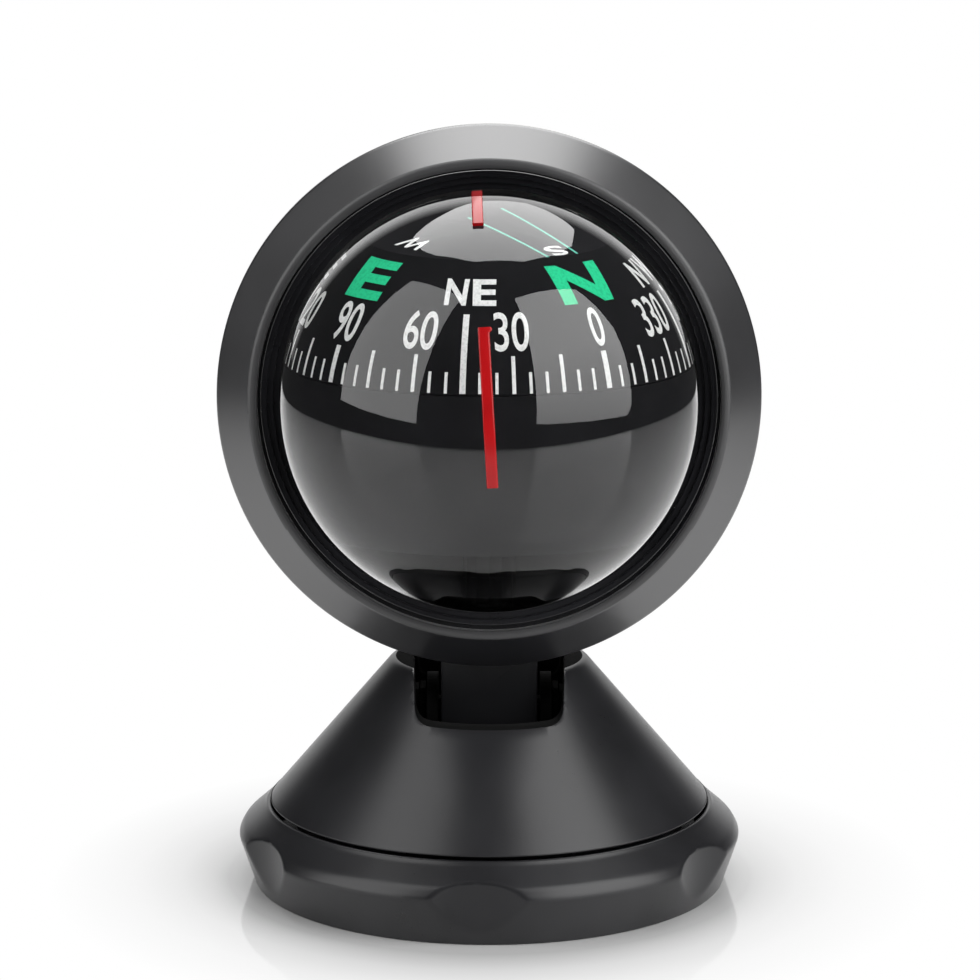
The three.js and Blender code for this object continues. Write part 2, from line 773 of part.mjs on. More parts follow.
function cardSkirt() {
  const inner = cardRadius - cardWall;
  const top = partingHeight - fit;
  const topAngle = Math.asin(top / cardRadius) / DEG;
  const webAngle = Math.asin(webBottom / inner) / DEG;
  const landing = inner * Math.cos(webAngle * DEG) - cardWall / 2;
  return turned([
    [0, webBottom],
    ...arc(inner, webAngle, skirtLatitude, arcSteps),
    ...arc(cardRadius, skirtLatitude, topAngle, arcSteps),
    [landing, top],
    [landing, webTop],
    [0, webTop],
  ], innerFacets);
}
add(card, 'card_skirt', cardSkirt(), cardBlack);

const magnetPlace = 6.6;
const magnetHalfWidth = 1.2;
const magnetHalfLength = 7.5;
function magnet(x) {
  const top = webBottom - fit;
  return box(
    x - magnetHalfWidth, x + magnetHalfWidth, -magnetHalfLength, magnetHalfLength,
    top - 2 * magnetHalfWidth, top,
  );
}
add(card, 'magnet_left', magnet(-magnetPlace), magnetSteel);
add(card, 'magnet_right', magnet(magnetPlace), magnetSteel);

export default compass;
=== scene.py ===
# %% [markdown]
# # A dashboard ball compass
# The compass is a clear half ball with a card floating in it. A black bezel holds the ball, a
# rear housing closes it, and a neck under the housing tilts in a slot of the cone-shaped foot.
# The CAD model already gives every part its place, so it is loaded first as a fixed frame.
# Lengths in this lesson are in millimetres, as on a drawing, and become metres in each mesh.

# %% Load the fixed frame
import json
import math

import bmesh
import bpy
from mathutils import Matrix, Vector

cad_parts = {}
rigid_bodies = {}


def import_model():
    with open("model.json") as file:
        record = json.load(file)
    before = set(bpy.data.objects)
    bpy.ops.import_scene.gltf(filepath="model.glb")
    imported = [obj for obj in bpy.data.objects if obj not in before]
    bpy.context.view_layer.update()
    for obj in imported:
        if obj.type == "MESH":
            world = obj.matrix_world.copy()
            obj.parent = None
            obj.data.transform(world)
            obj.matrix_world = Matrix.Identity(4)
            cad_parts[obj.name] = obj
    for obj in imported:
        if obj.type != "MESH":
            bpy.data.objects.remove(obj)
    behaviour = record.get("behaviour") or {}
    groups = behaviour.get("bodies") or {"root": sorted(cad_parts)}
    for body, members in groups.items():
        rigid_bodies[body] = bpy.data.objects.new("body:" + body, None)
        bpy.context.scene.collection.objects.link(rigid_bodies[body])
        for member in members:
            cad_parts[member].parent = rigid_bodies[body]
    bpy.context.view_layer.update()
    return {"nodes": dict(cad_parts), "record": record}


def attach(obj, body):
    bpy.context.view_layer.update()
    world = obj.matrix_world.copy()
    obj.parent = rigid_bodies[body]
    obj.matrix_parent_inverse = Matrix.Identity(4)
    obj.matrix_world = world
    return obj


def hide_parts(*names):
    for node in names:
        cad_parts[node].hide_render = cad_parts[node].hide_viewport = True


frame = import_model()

# %% [markdown]
# ## Two places to build in
# The foot is turned about the upright axis through the frame's origin. The head has its own
# axis: it comes out of the dome and is pitched a little upwards. A matrix for each place lets
# one outline be drawn in simple numbers and then be put where it belongs.

# %% Lengths and places
MM = 0.001
DOME_FORWARD = 12.75
DOME_HEIGHT = 47.65
HEAD_PITCH = math.radians(3)

dome_centre = Vector((0, -DOME_FORWARD, DOME_HEIGHT))
head_place = Matrix.Translation(dome_centre) @ Matrix.Rotation(
    math.radians(90) - HEAD_PITCH, 4, "X"
)
card_place = Matrix.Translation(dome_centre)
foot_place = Matrix.Identity(4)
print("head axis points to", [round(v, 3) for v in head_place.to_3x3() @ Vector((0, 0, 1))])

# %% [markdown]
# ## The camera
# The photograph was taken with a long lens from a little above, so the camera stands back and
# looks slightly down. It is made before the pieces, so that each one can be judged in its view.

# %% Camera
CAMERA_SPOT = Vector((0.08, -302.75, 93.34))
CAMERA_PITCH = math.radians(10.472)
CAMERA_LENS = 119.79
CAMERA_SENSOR = 36
NEAREST = 10
FARTHEST = 20000

camera_data = bpy.data.cameras.new("camera")
camera_data.lens = CAMERA_LENS
camera_data.sensor_width = CAMERA_SENSOR
camera_data.clip_start = NEAREST * MM
camera_data.clip_end = FARTHEST * MM
camera = bpy.data.objects.new("camera", camera_data)
camera.location = CAMERA_SPOT * MM
camera.rotation_euler = (math.radians(90) - CAMERA_PITCH, 0, 0)
bpy.context.scene.collection.objects.link(camera)
bpy.context.scene.camera = camera
bpy.context.scene.view_settings.view_transform = "Standard"
print("camera lens", CAMERA_LENS)

# %% [markdown]
# ## Sums written as nodes
# Materials and Geometry Nodes both need arithmetic on sockets. A socket wrapped in a small
# class can stand in a Python expression, and each sign in it adds the Math node that does it.
# Every other node comes from one method, so that all trees are built in the same way.


# %% The socket class and the tree class
class Wire:
    """An output socket that can stand in a Python sum."""

    def __init__(self, tree, socket):
        self.tree = tree
        self.socket = socket

    def __add__(self, other):
        return self.tree.sum("ADD", self, other)

    def __radd__(self, other):
        return self.tree.sum("ADD", other, self)

    def __sub__(self, other):
        return self.tree.sum("SUBTRACT", self, other)

    def __rsub__(self, other):
        return self.tree.sum("SUBTRACT", other, self)

    def __mul__(self, other):
        return self.tree.sum("MULTIPLY", self, other)

    def __rmul__(self, other):
        return self.tree.sum("MULTIPLY", other, self)

    def __truediv__(self, other):
        return self.tree.sum("DIVIDE", self, other)

    def __rtruediv__(self, other):
        return self.tree.sum("DIVIDE", other, self)

    def __pow__(self, other):
        return self.tree.sum("POWER", self, other)

    def __gt__(self, other):
        return self.tree.sum("GREATER_THAN", self, other)

    def __lt__(self, other):
        return self.tree.sum("LESS_THAN", self, other)


class Made:
    """A node whose outputs are asked for by name or by number."""

    def __init__(self, tree, node):
        self.tree = tree
        self.node = node

    def __getitem__(self, output):
        return Wire(self.tree, self.node.outputs[output])


class Tree:
    """A node tree, in a material, in the world or in a Geometry Nodes modifier."""

    def __init__(self, tree):
        self.tree = tree

    def node(self, kind, settings=None, inputs=None):
        """Adds a node, sets its own settings first, and then fills or links its sockets."""
        made = self.tree.nodes.new(kind)
        for setting, value in (settings or {}).items():
            if setting == "stops":
                self.fill_ramp(made.color_ramp, value)
            else:
                setattr(made, setting, value)
        for name, value in (inputs or {}).items():
            if isinstance(value, Wire):
                self.tree.links.new(value.socket, made.inputs[name])
            else:
                made.inputs[name].default_value = value
        return Made(self, made)

    def fill_ramp(self, ramp, stops):
        """Gives a colour ramp its stops, each a place and a grey."""
        while len(ramp.elements) < len(stops):
            ramp.elements.new(0.5)
        for element, (place, grey) in zip(ramp.elements, stops):
            element.position = place
            element.color = (grey, grey, grey, 1)

    def link(self, wire, made, name):
        """Links a socket to an input of a node that was made earlier."""
        self.tree.links.new(wire.socket, made.node.inputs[name])

    def sum(self, operation, *values):
        """One Math node."""
        return self.node("ShaderNodeMath", {"operation": operation}, dict(enumerate(values)))[0]

    def vector(self, operation, *values):
        """One Vector Math node."""
        return self.node(
            "ShaderNodeVectorMath", {"operation": operation}, dict(enumerate(values))
        )[0]

    def mix(self, share, first, second):
        """Mixes two colours by a share from 0 to 1."""
        inputs = {0: share, 6: first, 7: second}
        return self.node("ShaderNodeMix", {"data_type": "RGBA"}, inputs)[2]

    def map(self, value, low, high, to_low, to_high):
        """Maps a value from one range to another and holds it there."""
        inputs = {0: value, 1: low, 2: high, 3: to_low, 4: to_high}
        return self.node("ShaderNodeMapRange", {"clamp": True}, inputs)[0]


print("node classes ready")

# %% [markdown]
# ## Finishes
# Each finish is one material. Moulded black plastic is never one flat black: the tool leaves a
# fine grain, fingers leave faint smooth patches, and edges polish a little. The patterns read
# Object coordinates, because each piece keeps its place in its mesh, and so they stay put.


# %% A finish and its common patterns
PATCH_SIZE = 9.0
PATCH_EDGES = (0.35, 0.65)
PALE_SHARE = 1.5


def finish(name):
    """Starts an empty material and returns it with its tree and its output node."""
    material = bpy.data.materials.new(name)
    material.use_nodes = True
    material.node_tree.nodes.clear()
    tree = Tree(material.node_tree)
    output = tree.node("ShaderNodeOutputMaterial")
    return material, tree, output


def noise(tree, size, detail=2.0, roughness=0.5, stretch=(1, 1, 1)):
    """A noise whose blotches are about one size across, in millimetres."""
    place = tree.node("ShaderNodeTexCoord")["Object"]
    mapped = tree.node("ShaderNodeMapping", {}, {"Vector": place, "Scale": stretch})["Vector"]
    inputs = {
        "Vector": mapped,
        "Scale": 1 / (size * MM),
        "Detail": detail,
        "Roughness": roughness,
    }
    return tree.node("ShaderNodeTexNoise", {}, inputs)["Fac"]


def bumped(tree, height, depth):
    """A normal bent by a height pattern of that depth, in millimetres."""
    inputs = {"Height": height, "Distance": depth * MM, "Strength": 1.0}
    return tree.node("ShaderNodeBump", {}, inputs)["Normal"]


def plastic(name, colour, roughness, spread, grain, depth, specular=0.5, ior=1.5):
    """Moulded plastic: grain in its bump, faint patches in its roughness and colour."""
    material, tree, output = finish(name)
    patches = noise(tree, PATCH_SIZE, 3.0)
    fine = noise(tree, grain, 2.0)
    pale = tuple(c * PALE_SHARE for c in colour)
    inputs = {
        "Base Color": tree.mix(tree.map(patches, *PATCH_EDGES, 0, 1), (*colour, 1), (*pale, 1)),
        "Roughness": roughness - spread / 2 + spread * patches + spread * (fine - 0.5),
        "Specular IOR Level": specular,
        "IOR": ior,
        "Normal": bumped(tree, fine, depth),
    }
    shader = tree.node("ShaderNodeBsdfPrincipled", {}, inputs)
    tree.link(shader["BSDF"], output, "Surface")
    return material


print("common patterns ready")

# %% [markdown]
# Each finish gives its colour, its roughness and how far that spreads, and the size and depth of
# its grain. The bezel's two blacks mirror the light more strongly than the others, as polished
# plastic does.

# %% Plastics, paint, rubber and foam
satin_black = plastic("satin_black_plastic", (0.008, 0.008, 0.009), roughness=0.30, spread=0.08,
                      grain=0.22, depth=0.004, specular=0.37)
bezel_black = plastic("polished_black_plastic", (0.006, 0.006, 0.007), roughness=0.32, spread=0.04,
                      grain=0.25, depth=0.002, specular=1.0, ior=1.63)
lip_black = plastic("worn_black_plastic", (0.012, 0.012, 0.013), roughness=0.46, spread=0.08,
                    grain=0.22, depth=0.003, specular=0.7)
gloss_black = plastic("gloss_black_plastic", (0.006, 0.006, 0.007), roughness=0.16, spread=0.08,
                      grain=0.5, depth=0.002, specular=0.3)
# Deep black and matt black are mostly painted shade. Deep black darkens the cone's hidden faces,
# the small parts in the slot and the back of the top index line, and it is also the cup's own
# black. Matt black darkens the small metal parts inside the cone.
black_and_painted_shade = plastic("deep_black_paint", (0.003, 0.003, 0.003), roughness=0.7, spread=0.1,
                     grain=0.3, depth=0.001, specular=0.01)
matt_painted_shade = plastic("matt_black_plastic", (0.006, 0.006, 0.007), roughness=0.6, spread=0.08,
                     grain=0.25, depth=0.003, specular=0.06)
card_black = plastic("card_black_paint", (0.008, 0.008, 0.009), roughness=0.6, spread=0.1,
                     grain=0.3, depth=0.002, specular=0.03)
rubber = plastic("black_rubber", (0.02, 0.02, 0.02), roughness=0.75, spread=0.15,
                 grain=0.35, depth=0.012)
foam = plastic("grey_foam", (0.10, 0.105, 0.11), roughness=0.9, spread=0.1, grain=0.4, depth=0.06)
jewel = plastic("white_jewel", (0.75, 0.72, 0.66), roughness=0.12, spread=0.04,
                grain=0.6, depth=0.001)
print("plastics", len(bpy.data.materials))

# %% [markdown]
# The print on the card is ink, with edges that are a little uneven and a dry, matt surface. The
# index lines are moulded in red plastic, which is semi-glossy and a little darker in patches.

# %% Inks and red plastic
INK_SPECK = 0.25
SPECK_EDGES = (0.30, 0.55)
SPECK_DEPTH = 0.004
THIN_SHARE = 0.78
INK_ROUGHNESS = 0.5
INK_SPREAD = 0.1
IN_LIQUID = 0.03


def ink(name, colour):
    """Ink on the card: nearly one colour, with small thin places."""
    material, tree, output = finish(name)
    specks = noise(tree, INK_SPECK, 3.0)
    thin = tuple(c * THIN_SHARE for c in colour)
    inputs = {
        "Base Color": tree.mix(tree.map(specks, *SPECK_EDGES, 0, 1), (*thin, 1), (*colour, 1)),
        "Roughness": INK_ROUGHNESS + INK_SPREAD * (specks - 0.5),
        "Normal": bumped(tree, specks, SPECK_DEPTH),
        "Specular IOR Level": IN_LIQUID,
    }
    shader = tree.node("ShaderNodeBsdfPrincipled", {}, inputs)
    tree.link(shader["BSDF"], output, "Surface")
    return material


white_ink = ink("white_ink", (0.86, 0.87, 0.86))
green_ink = ink("green_ink", (0.03, 0.68, 0.32))
line_ink = ink("pale_green_ink", (0.16, 0.62, 0.48))
red_plastic = plastic("red_plastic", (0.225, 0.002, 0.003), roughness=0.22, spread=0.06,
                      grain=0.3, depth=0.002, specular=0.3)
painted_shade_red = plastic("dull_red_plastic", (0.12, 0.001, 0.002), roughness=0.6, spread=0.06,
                   grain=0.3, depth=0.002, specular=0.01)
print("inks", white_ink.name, green_ink.name, line_ink.name)


# %% [markdown]
# The screws are plated steel. Turning leaves fine marks, so the roughness is varied by a noise
# that is stretched one way, and the plating has faint cloudy places. The magnets are darker and
# duller, as sintered metal is.

# %% Steel
CLOUD_SIZE = 3.0
CLOUD_SPREAD = 0.1
MARK_SIZE = 0.12
MARK_STRETCH = (1, 1, 6)
MARK_SPREAD = 0.16
MARK_DEPTH = 0.002
DULL_SHARE = 0.7


def steel(name, colour, roughness):
    """Plated steel: cloudy plating and fine marks."""
    material, tree, output = finish(name)
    clouds = noise(tree, CLOUD_SIZE, 3.0)
    marks = noise(tree, MARK_SIZE, 2.0, 0.6, MARK_STRETCH)
    dull = tuple(c * DULL_SHARE for c in colour)
    uneven = MARK_SPREAD * (marks - 0.5) + CLOUD_SPREAD * (clouds - 0.5)
    inputs = {
        "Base Color": tree.mix(clouds, (*dull, 1), (*colour, 1)),
        "Metallic": 1.0,
        "Roughness": roughness + uneven,
        "Normal": bumped(tree, marks, MARK_DEPTH),
    }
    shader = tree.node("ShaderNodeBsdfPrincipled", {}, inputs)
    tree.link(shader["BSDF"], output, "Surface")
    return material


plated_steel = steel("plated_steel", (0.56, 0.56, 0.55), 0.32)
magnet_steel = steel("magnet_steel", (0.20, 0.20, 0.21), 0.5)
print("steels", plated_steel.name, magnet_steel.name)


# %% [markdown]
# ## Clear acrylic and the liquid behind it
# The ball is full of liquid that bends light almost as acrylic does, so the card looks larger
# than it is. A separate body of liquid would have to touch the acrylic exactly. Instead the
# dome's inner face gets a material of its own, with the small step from acrylic to liquid.
# Lamps can't send direct light through glass, so a shadow ray passes straight through it.

# %% Two clear finishes
ACRYLIC_IOR = 1.52
LIQUID_STEP_IOR = 1.035
CLEAR_COLOUR = (1, 1, 1, 1)


def clear(name, ior):
    """Clear material that lets the lamps' light through to what is inside."""
    material, tree, output = finish(name)
    inputs = {
        "Base Color": CLEAR_COLOUR,
        "Roughness": 0.0,
        "IOR": ior,
        "Transmission Weight": 1.0,
    }
    shader = tree.node("ShaderNodeBsdfPrincipled", {}, inputs)
    through = tree.node("ShaderNodeBsdfTransparent")
    shadow = tree.node("ShaderNodeLightPath")["Is Shadow Ray"]
    sockets = {0: shadow, 1: shader["BSDF"], 2: through["BSDF"]}
    mixed = tree.node("ShaderNodeMixShader", {}, sockets)
    tree.link(mixed["Shader"], output, "Surface")
    return material


clear_acrylic = clear("clear_acrylic", ACRYLIC_IOR)
clear_inside = clear("clear_acrylic_to_liquid", LIQUID_STEP_IOR)
print("clear finishes", clear_acrylic.name, clear_inside.name)

# %% [markdown]
# ## Turned pieces
# Most parts of the compass are round, and in the factory the moulds for them are turned. So
# they are drawn as half an outline that goes round an axis. Sharp corners would look like a
# drawing and not like plastic, so each corner says how far from it its rounding starts.

# %% Outlines with rounded corners
CURVE_STEPS = 4
LAND_SHARE = 1.5
LAND_ROOM = 4
MOST_SHARE = 0.45
SHARP_ANGLE = math.radians(36)


def softened(corners):
    """Rounds the (radius, height, rounding) corners of an outline."""
    points = []
    for i, (radius, height, rounding) in enumerate(corners):
        here = Vector((radius, height))
        back = Vector(corners[i - 1][:2]) - here
        ahead = Vector(corners[(i + 1) % len(corners)][:2]) - here
        reach = min(rounding, MOST_SHARE * back.length, MOST_SHARE * ahead.length)
        if reach <= 0:
            points.append(here)
            continue
        start = here + back.normalized() * reach
        end = here + ahead.normalized() * reach
        if back.length > LAND_ROOM * reach:
            points.append(here + back.normalized() * reach * LAND_SHARE)
        for step in range(CURVE_STEPS + 1):
            t = step / CURVE_STEPS
            points.append(start * (1 - t) ** 2 + here * 2 * t * (1 - t) + end * t * t)
        if ahead.length > LAND_ROOM * reach:
            points.append(here + ahead.normalized() * reach * LAND_SHARE)
    return points


def arc(radius, start, end, steps):
    """Outline points on a circle about the place's origin, by their angle above the radius."""
    angles = [math.radians(start + (end - start) * i / steps) for i in range(steps + 1)]
    return [Vector((radius * math.cos(a), radius * math.sin(a))) for a in angles]


print("a softened square has", len(softened([(1, 0, 0.1), (2, 0, 0.1), (2, 1, 0.1), (1, 1, 0.1)])))

# %% [markdown]
# A turned mesh needs one vertex on the axis, not a ring of them, or the pole would be open.
# Faces on a rounding are smooth, and an edge that is still sharp is marked by its angle.

# %% From outline to piece
SIDES = 256
ON_AXIS = 1e-6


def piece(name, mesh_maker, *finishes):
    """Makes an object at the origin out of a bmesh, with its faces outwards and shaded."""
    mesh = bpy.data.meshes.new(name)
    bmesh.ops.recalc_face_normals(mesh_maker, faces=mesh_maker.faces)
    mesh_maker.to_mesh(mesh)
    mesh_maker.free()
    for material in finishes:
        mesh.materials.append(material)
    made = bpy.data.objects.new(name, mesh)
    bpy.context.scene.collection.objects.link(made)
    shaded(made)
    return made


def shaded(made):
    """Smooth faces, with the edges that are still sharp kept sharp."""
    made.data.polygons.foreach_set("use_smooth", [True] * len(made.data.polygons))
    made.data.set_sharp_from_angle(angle=SHARP_ANGLE)
    made.data.update()


def turned_mesh(outline, place, sides):
    """A bmesh of an outline turned about the place's axis."""
    maker = bmesh.new()
    rings = []
    for radius, height in outline:
        if radius < ON_AXIS:
            radius = 0
        count = sides if radius > 0 else 1
        ring = []
        for i in range(count):
            angle = 2 * math.pi * i / sides
            spot = Vector((radius * math.cos(angle), radius * math.sin(angle), height))
            ring.append(maker.verts.new((place @ spot) * MM))
        rings.append(ring)
    pairs = list(zip(rings, rings[1:]))
    if len(rings[0]) > 1 or len(rings[-1]) > 1:
        pairs.append((rings[-1], rings[0]))
    for low, high in pairs:
        for i in range(sides):
            j = (i + 1) % sides
            below = [low[i % len(low)], low[j % len(low)]]
            above = [high[j % len(high)], high[i % len(high)]]
            corners = list(dict.fromkeys(below + above))
            if len(corners) > 2:
                maker.faces.new(corners)
    return maker


def turned(name, outline, place, *finishes, sides=SIDES):
    """A turned piece."""
    return piece(name, turned_mesh(outline, place, sides), *finishes)


print("sides of a turned piece", SIDES)

# %% [markdown]
# Cuts and joins are left to the Boolean modifier, with solids that are made for it. What the
# modifiers give is turned into a plain mesh and they are removed, so nothing live is left.

# %% Cuts, joins and plain meshes
WELD = 0.02
EDGE_STEPS = 2
PRISM_STEPS = 3


def plain(made):
    """Turns what an object's modifiers make into its own plain mesh."""
    bpy.context.view_layer.update()
    graph = bpy.context.evaluated_depsgraph_get()
    mesh = bpy.data.meshes.new_from_object(made.evaluated_get(graph))
    made.modifiers.clear()
    made.data = mesh


def broken_edges(maker, width, steps):
    """Rounds the sharp edges of a bmesh."""
    sharp = [e for e in maker.edges if len(e.link_faces) == 2
             and e.calc_face_angle() > SHARP_ANGLE]
    bmesh.ops.bevel(
        maker, geom=sharp, offset=width * MM, segments=steps, profile=0.5,
        affect="EDGES", clamp_overlap=False,
    )


def carved(made, edge, cuts, joins=()):
    """Joins solids to a piece, cuts others from it, and breaks the sharp edges."""
    for operation, tools in (("UNION", joins), ("DIFFERENCE", cuts)):
        for tool in tools:
            modifier = made.modifiers.new(tool.name, "BOOLEAN")
            modifier.operation = operation
            modifier.solver = "EXACT"
            modifier.object = tool
    plain(made)
    for tool in [*joins, *cuts]:
        bpy.data.objects.remove(tool)
    maker = bmesh.new()
    maker.from_mesh(made.data)
    bmesh.ops.remove_doubles(maker, verts=maker.verts, dist=WELD * MM)
    broken_edges(maker, edge, EDGE_STEPS)
    maker.to_mesh(made.data)
    maker.free()
    shaded(made)


def prism(name, outline, low, high, place, edge=0.0):
    """A solid whose (x, z) outline is drawn out along y, with its edges rounded."""
    maker = bmesh.new()
    ends = []
    for y in (low, high):
        ends.append([maker.verts.new((place @ Vector((x, y, z))) * MM) for x, z in outline])
    maker.faces.new(ends[0])
    maker.faces.new(list(reversed(ends[1])))
    for i in range(len(outline)):
        j = (i + 1) % len(outline)
        maker.faces.new((ends[0][j], ends[0][i], ends[1][i], ends[1][j]))
    if edge > 0:
        broken_edges(maker, edge, PRISM_STEPS)
    return piece(name, maker)


print("weld distance", WELD)

# %% [markdown]
# ## The grip ring
# The ring at the bottom has six shallow hollows for the fingers. They repeat round the ring,
# so they come from Geometry Nodes: the tree pulls each point in to the nearest of six upright
# cylinders. A soft minimum in place of a plain one leaves the moulded edge slightly round.

# %% The tree that makes the hollows
def size_tree(name, sizes):
    """Starts a Geometry Nodes tree with a named input for each size."""
    group = bpy.data.node_groups.new(name, "GeometryNodeTree")
    shapes = {"in_out": "INPUT", "socket_type": "NodeSocketGeometry"}
    group.interface.new_socket("Geometry", **shapes)
    for size, kind in sizes.items():
        group.interface.new_socket(size, in_out="INPUT", socket_type=f"NodeSocket{kind}")
    shapes["in_out"] = "OUTPUT"
    group.interface.new_socket("Geometry", **shapes)
    tree = Tree(group)
    return tree, tree.node("NodeGroupInput"), tree.node("NodeGroupOutput")


def grown(made, tree, values):
    """Runs a tree on an object with these values, and keeps the result as its plain mesh."""
    modifier = made.modifiers.new(tree.tree.name, "NODES")
    modifier.node_group = tree.tree
    for item in tree.tree.interface.items_tree:
        if item.item_type == "SOCKET" and item.in_out == "INPUT" and item.name in values:
            modifier[item.identifier] = values[item.name]
    plain(made)
    shaded(made)


hollows, sizes, result = size_tree(
    "Finger hollows",
    {"Count": "Int", "First Angle": "Float", "Distance": "Float", "Curve": "Float",
     "Softness": "Float", "Finish": "Material"},
)
spot = hollows.node("GeometryNodeInputPosition")[0]
parts = hollows.node("ShaderNodeSeparateXYZ", {}, {0: spot})
radius = (parts["X"] * parts["X"] + parts["Y"] * parts["Y"]) ** 0.5
angle = hollows.sum("ARCTAN2", parts["Y"], parts["X"])
share = 2 * math.pi / sizes["Count"]
turns = (angle - sizes["First Angle"]) / share
off = (turns - hollows.sum("ROUND", turns)) * share
sideways = sizes["Distance"] * hollows.sum("SINE", off)
inside = hollows.sum("MAXIMUM", sizes["Curve"] * sizes["Curve"] - sideways * sideways, 0.0)
near = sizes["Distance"] * hollows.sum("COSINE", off) - inside ** 0.5
pulled = hollows.sum("SMOOTH_MIN", radius, near, sizes["Softness"]) / radius
place = hollows.node(
    "ShaderNodeCombineXYZ", {}, {0: parts["X"] * pulled, 1: parts["Y"] * pulled, 2: parts["Z"]}
)[0]
moved = hollows.node(
    "GeometryNodeSetPosition", {}, {"Geometry": sizes["Geometry"], "Position": place}
)
whole = hollows.node("GeometryNodeRealizeInstances", {}, {0: moved[0]})
coated = hollows.node(
    "GeometryNodeSetMaterial", {}, {"Geometry": whole[0], "Material": sizes["Finish"]}
)
hollows.link(coated[0], result, 0)
print("hollow tree nodes", len(hollows.tree.nodes))

# %% [markdown]
# The ring's outline leans outwards to its edge, rounds over and runs up to the seam with the
# cone. Long straight runs are split, because the hollows can only move points that are there.

# %% Grip ring
GRIP_RADIUS = 24.0
FOOT_RADIUS = 22.5
SCALLOP_COUNT = 6
SCALLOP_DEPTH = 1.1
SCALLOP_CURVE = 15.0
SCALLOP_FIRST = math.radians(-92.5)
SCALLOP_SOFTNESS = 0.1
RING_SEAM = 7.42
WELL_LAND = 7.05
WELL_RADIUS = 17.0
WELL_FLOOR = 6.84
SWIVEL_BORE = 1.8
RECESS_ROOF = 5.24
RECESS_RADIUS = 19.8
SPLIT = 0.3
RING_SIDES = 480


def split(outline, longest):
    """Puts more points on the long straight runs of a closed outline."""
    points = []
    for i, start in enumerate(outline):
        run = outline[(i + 1) % len(outline)] - start
        count = max(1, math.ceil(run.length / longest))
        points += [start + run * (n / count) for n in range(count)]
    return points


skin = split(softened([
    (FOOT_RADIUS - 0.02, 0, 0.12), (23.72, 3.66, 0.5), (GRIP_RADIUS, 4.5, 0.35),
    (23.50, 5.42, 0.35), (21.55, 7.10, 0.18), (21.28, RING_SEAM, 0.10),
    (20.95, RING_SEAM, 0.10), (20.75, WELL_LAND, 0.06),
]), SPLIT)
core = softened([
    (WELL_RADIUS, WELL_LAND, 0), (WELL_RADIUS, WELL_FLOOR, 0.05),
    (SWIVEL_BORE, WELL_FLOOR, 0.1), (SWIVEL_BORE, RECESS_ROOF, 0.1),
    (RECESS_RADIUS, RECESS_ROOF, 0.2), (RECESS_RADIUS, 0, 0.12),
])
grip_ring = turned("grip_ring_skin", skin[:-1] + core, foot_place, satin_black, sides=RING_SIDES)
grown(grip_ring, hollows, {
    "Count": SCALLOP_COUNT,
    "First Angle": SCALLOP_FIRST,
    "Distance": (GRIP_RADIUS - SCALLOP_DEPTH + SCALLOP_CURVE) * MM,
    "Curve": SCALLOP_CURVE * MM,
    "Softness": SCALLOP_SOFTNESS * MM,
    "Finish": satin_black,
})
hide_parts("grip_ring")
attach(grip_ring, "base")
print("grip ring faces", len(grip_ring.data.polygons))

# %% [markdown]
# ## The cone with its slot
# The cone turns on the ring. A slot is cut across its top for the neck, wide enough for the
# head to tilt, and a low sill closes the slot's back. It is a turned shell first and a
# Boolean cut after, because the slot's sides are flat while the shell is round, and no single
# outline could give both. The slope is split into rings, so that the cut only disturbs the
# shading near the slot.

# %% The cone's shell
CONE_BOTTOM = 7.65
CONE_TOP = 21.45
SEAM_RADIUS = 21.0
CONE_TOP_RADIUS = 9.2
CONE_WALL = 2.2
TURNTABLE_TOP = 8.54
TURNTABLE_BOTTOM = 7.14
TURNTABLE_RADIUS = 16.7
CONE_FLOOR_RADIUS = 18.04
CONE_STEP = 1.2

cone = turned("cone_skin", split(softened([
    (SEAM_RADIUS, CONE_BOTTOM, 0.22), (CONE_TOP_RADIUS, CONE_TOP, 0.6),
    (CONE_TOP_RADIUS - CONE_WALL, CONE_TOP, 0.3), (CONE_FLOOR_RADIUS, TURNTABLE_TOP, 0.4),
    (SWIVEL_BORE, TURNTABLE_TOP, 0.1), (SWIVEL_BORE, TURNTABLE_BOTTOM, 0.1),
    (TURNTABLE_RADIUS, TURNTABLE_BOTTOM, 0.1), (TURNTABLE_RADIUS, CONE_BOTTOM, 0.1),
]), CONE_STEP), foot_place, satin_black)
print("shell faces", len(cone.data.polygons))

# %% [markdown]
# The slot is drawn as it looks from the front, and the drawing is pushed through the cone. A
# second solid with a higher floor goes on through the back, and so the sill stays. What lies
# inside the skin gets a near-black finish that paints shade: the faces of the slot, the flat
# top and the hollow are all dark in the picture.

# %% The slot and the painted shade inside it
SLOT_HALF = 7.2
SLOT_LOW_HALF = 6.85
SLOT_FLOOR = 17.35
SLOT_CORNER = 1.5
SLOT_LENGTH = 23.0
SLOT_OVER = 24.0
SLOT_STEPS = 8
SILL_TOP = 19.9
SILL_PLACE = 8.45
SILL_OVERLAP = 1.0
CONE_EDGE = 0.14
TOP_ROUND = 0.7
THIN_SKIN = 0.04
THICK_SKIN = 0.35


def slot_outline(floor):
    """The slot seen from the front: round bottom corners and sides that open upwards."""
    lean = (SLOT_HALF - SLOT_LOW_HALF) / (SLOT_OVER - SLOT_FLOOR)
    half = SLOT_HALF - lean * (SLOT_OVER - floor)
    corner = [Vector((half, floor + SLOT_CORNER)), Vector((half, floor)),
              Vector((half - SLOT_CORNER, floor))]
    steps = [i / SLOT_STEPS for i in range(SLOT_STEPS + 1)]
    right = [corner[0] * (1 - t) ** 2 + corner[1] * 2 * t * (1 - t) + corner[2] * t * t
             for t in steps]
    left = [Vector((-p.x, p.y)) for p in right]
    return [Vector((-SLOT_HALF, SLOT_OVER)), *left, *reversed(right),
            Vector((SLOT_HALF, SLOT_OVER))]


